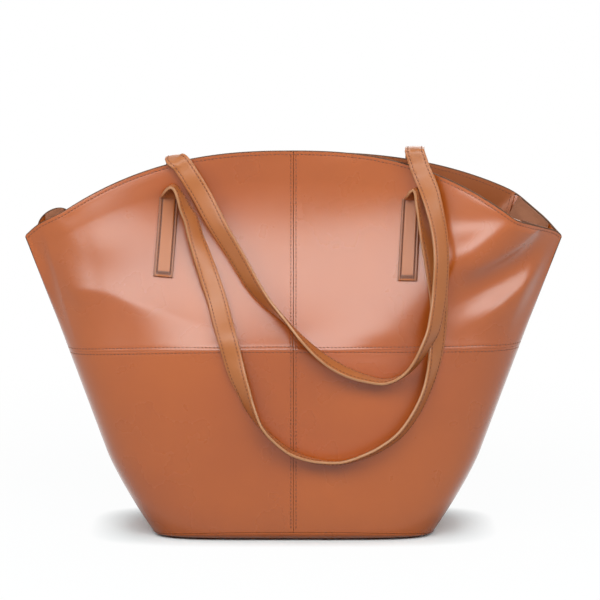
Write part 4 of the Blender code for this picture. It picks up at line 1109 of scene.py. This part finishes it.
def archRows(end, behindRim, shift):
    # a quarter ellipse up from behind the back rim, then a short bend down to the swing line, whose
    # angle is 0 degrees behind its centre and 90 above it
    _, backwards, upwards = frameOf(archEnds)
    reach = strap["thickness"] / 2 + strap["jointGap"]
    tilt = math.radians(strap["archEnd"] - 90)
    end = end + np.array(shift)
    centre = end + backwards * (reach * math.cos(tilt) + strap["archBend"] * math.sin(tilt))
    centre = centre + upwards * (reach * math.sin(tilt) - strap["archBend"] * math.cos(tilt))
    around = np.radians(np.linspace(90, strap["archEnd"], 4))[:, None]
    over = centre + strap["archBend"] * (np.cos(around) * backwards + np.sin(around) * upwards)
    turn = np.linspace(0, math.pi / 2, 8, endpoint=False)[:, None]
    level = between(over[0], behindRim, np.cos(turn))
    rising = between(behindRim, over[0], np.sin(turn))
    return np.vstack([np.column_stack([level[:, :2], rising[:, 2]]), over, end])


hanging = hangingRows(backRoute, back, bag["rimHeight"] - strap["backHangBelowRim"], strap["backDrop"])
hanging = np.column_stack([hanging, np.minimum(1, (stepsToEnd(len(hanging)) + 1) / 4)])
roots = []
for hand, end, start in zip((-1, 1), archEnds, backRises):
    arch = archRows(end, start, crestShift[hand])
    roots.append(np.column_stack([arch, np.zeros((len(arch), 2))]))
rows = smoothRows(np.vstack([roots[0], hanging, roots[1][::-1]]), strap["stations"] + 50)
wholeLoop("back_strap", rows, archEnds, backBlend, strap["crestTilt"], thick=roundedEnds(len(rows)))
stitchPiece("tab_stitches", tabStitchRuns, onBag)
print("straps ready")

dressed = {"base_board": boardFibre}
for part in ("snap_socket", "snap_stud"):
    dressed[part] = dressed[part + "_washer"] = snapMetal
for side in sideNames.values():
    for hand in handNames.values():
        dressed[f"{side}_{hand}_patch"] = backingFelt
for node, material in dressed.items():
    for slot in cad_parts[node].material_slots:
        slot.material = material
print("carried-over solids dressed")

stageLook = {"floorSize": 30.0, "white": 0.95, "grey": 0.45, "glow": 0.95, "baseHalf": (0.136, 0.062),
             "shadowOver": (1.1, 2.8), "farFrom": 0.30, "farFull": 0.8}
lamps = {
    "softbox": {"place": (-0.05, -1.46, 1.26), "size": (1.8, 0.86), "power": 23.0},
    "rightStrip": {"place": (1.25, -1.20, 0.95), "size": (1.1, 0.80), "power": 12.0},
    "leftStrip": {"place": (-1.35, -1.05, 1.05), "size": (1.1, 0.80), "power": 12.0},
    "top": {"place": (0.0, 0.3, 2.1), "size": (1.8, 1.8), "power": 12.0},
    "back": {"place": (0.3, 1.8, 1.0), "size": (1.6, 0.8), "power": 9.0},
}
lampAim = (0, 0, 0.2)
lampColour = (0.87, 0.98, 1.0)
worldLight = 0.06
camera = {"target": (0.0056, 0.0, 0.1985), "pitch": 9.0, "distance": 2.6, "pixelsPerMetre": 1163.0,
          "imageWidth": 600.0, "sensor": 36.0}


def seenDirectly(tree):
    # 1 for camera, glossy and transmission rays, which see plain white, and 0 for the light's own
    rays = makeNode(tree, "ShaderNodeLightPath").outputs
    seen = combined(tree, "MAXIMUM", rays["Is Camera Ray"], rays["Is Glossy Ray"])
    return combined(tree, "MAXIMUM", seen, rays["Is Transmission Ray"])


def vectorMath(tree, operation, *values):
    return makeNode(tree, "ShaderNodeVectorMath", dict(enumerate(values)), operation=operation).outputs


def floorGlow(tree):
    # how white the floor looks by itself: not at all beside the base, so that the shadow there is
    # kept, and wholly far away. Nearness to the base is the sum of the fourth powers of x and y,
    # each as a share of the base's half size.
    place = makeNode(tree, "ShaderNodeTexCoord").outputs["Object"]
    shares = tuple(1 / half for half in stageLook["baseHalf"]) + (0,)
    powers = vectorMath(tree, "MULTIPLY", place, shares)["Vector"]
    for _ in range(2):
        powers = vectorMath(tree, "MULTIPLY", powers, powers)["Vector"]
    total = vectorMath(tree, "DOT_PRODUCT", powers, (1, 1, 0))["Value"]
    near = ramp(tree, total, *stageLook["shadowOver"], 0.0, stageLook["glow"])
    away = vectorMath(tree, "LENGTH", place)["Value"]
    far = ramp(tree, away, stageLook["farFrom"], stageLook["farFull"], 0.0, 1 - stageLook["glow"])
    return combined(tree, "ADD", near, far)


def showMixed(tree, factor, lit, white, output):
    # the tree's output is a mix of two shaders
    mix = makeNode(tree, "ShaderNodeMixShader", {0: factor, 1: lit.outputs[0], 2: white.outputs[0]})
    makeNode(tree, output, {"Surface": mix.outputs[0]})


floorMaterial = bpy.data.materials.new("paleFloor")
floorMaterial.use_nodes = True
tree = floorMaterial.node_tree
tree.nodes.clear()
# grey for the light that the floor throws back, white for the camera
shades = [(stageLook[name],) * 3 + (1,) for name in ("grey", "white")]
seen = makeNode(tree, "ShaderNodeLightPath").outputs["Is Camera Ray"]
lit = makeNode(tree, "ShaderNodeBsdfDiffuse", {"Color": blendColours(tree, seen, *shades)})
factor = combined(tree, "MULTIPLY", seenDirectly(tree), floorGlow(tree))
showMixed(tree, factor, lit, makeNode(tree, "ShaderNodeEmission"), "ShaderNodeOutputMaterial")
half = stageLook["floorSize"] / 2
mesh = bpy.data.meshes.new("floor")
mesh.from_pydata([(-half, -half, 0), (half, -half, 0), (half, half, 0), (-half, half, 0)], [], [(0, 1, 2, 3)])
mesh.materials.append(floorMaterial)
addObject("floor", mesh)

world = bpy.data.worlds.new("studio")
world.use_nodes = True
bpy.context.scene.world = world
tree = world.node_tree
tree.nodes.clear()
dim, white = (makeNode(tree, "ShaderNodeBackground", {"Color": (1, 1, 1, 1), "Strength": strength})
              for strength in (worldLight, 1.0))
showMixed(tree, seenDirectly(tree), dim, white, "ShaderNodeOutputWorld")


def placeFacing(holder, place, aim):
    # sets an object at a place, its own -Z towards the aim
    holder.location = Vector(place)
    holder.rotation_euler = (Vector(aim) - Vector(place)).to_track_quat("-Z", "Y").to_euler()


for name, look in lamps.items():
    lamp = bpy.data.lights.new(name, "AREA")
    lamp.shape = "RECTANGLE"
    lamp.size, lamp.size_y = look["size"]
    lamp.energy = look["power"]
    lamp.color = lampColour
    placeFacing(addObject(name, lamp), look["place"], lampAim)

lens = bpy.data.cameras.new("camera")
lens.sensor_width = camera["sensor"]
lens.lens = camera["pixelsPerMetre"] * camera["distance"] * camera["sensor"] / camera["imageWidth"]
lens.clip_end = 100
eye = addObject("camera", lens)
pitch = math.radians(camera["pitch"])
away = camera["distance"] * Vector((0, -math.cos(pitch), math.sin(pitch)))
placeFacing(eye, Vector(camera["target"]) + away, camera["target"])
bpy.context.scene.camera = eye
bpy.context.scene.view_settings.view_transform = "Standard"
print("stage ready")
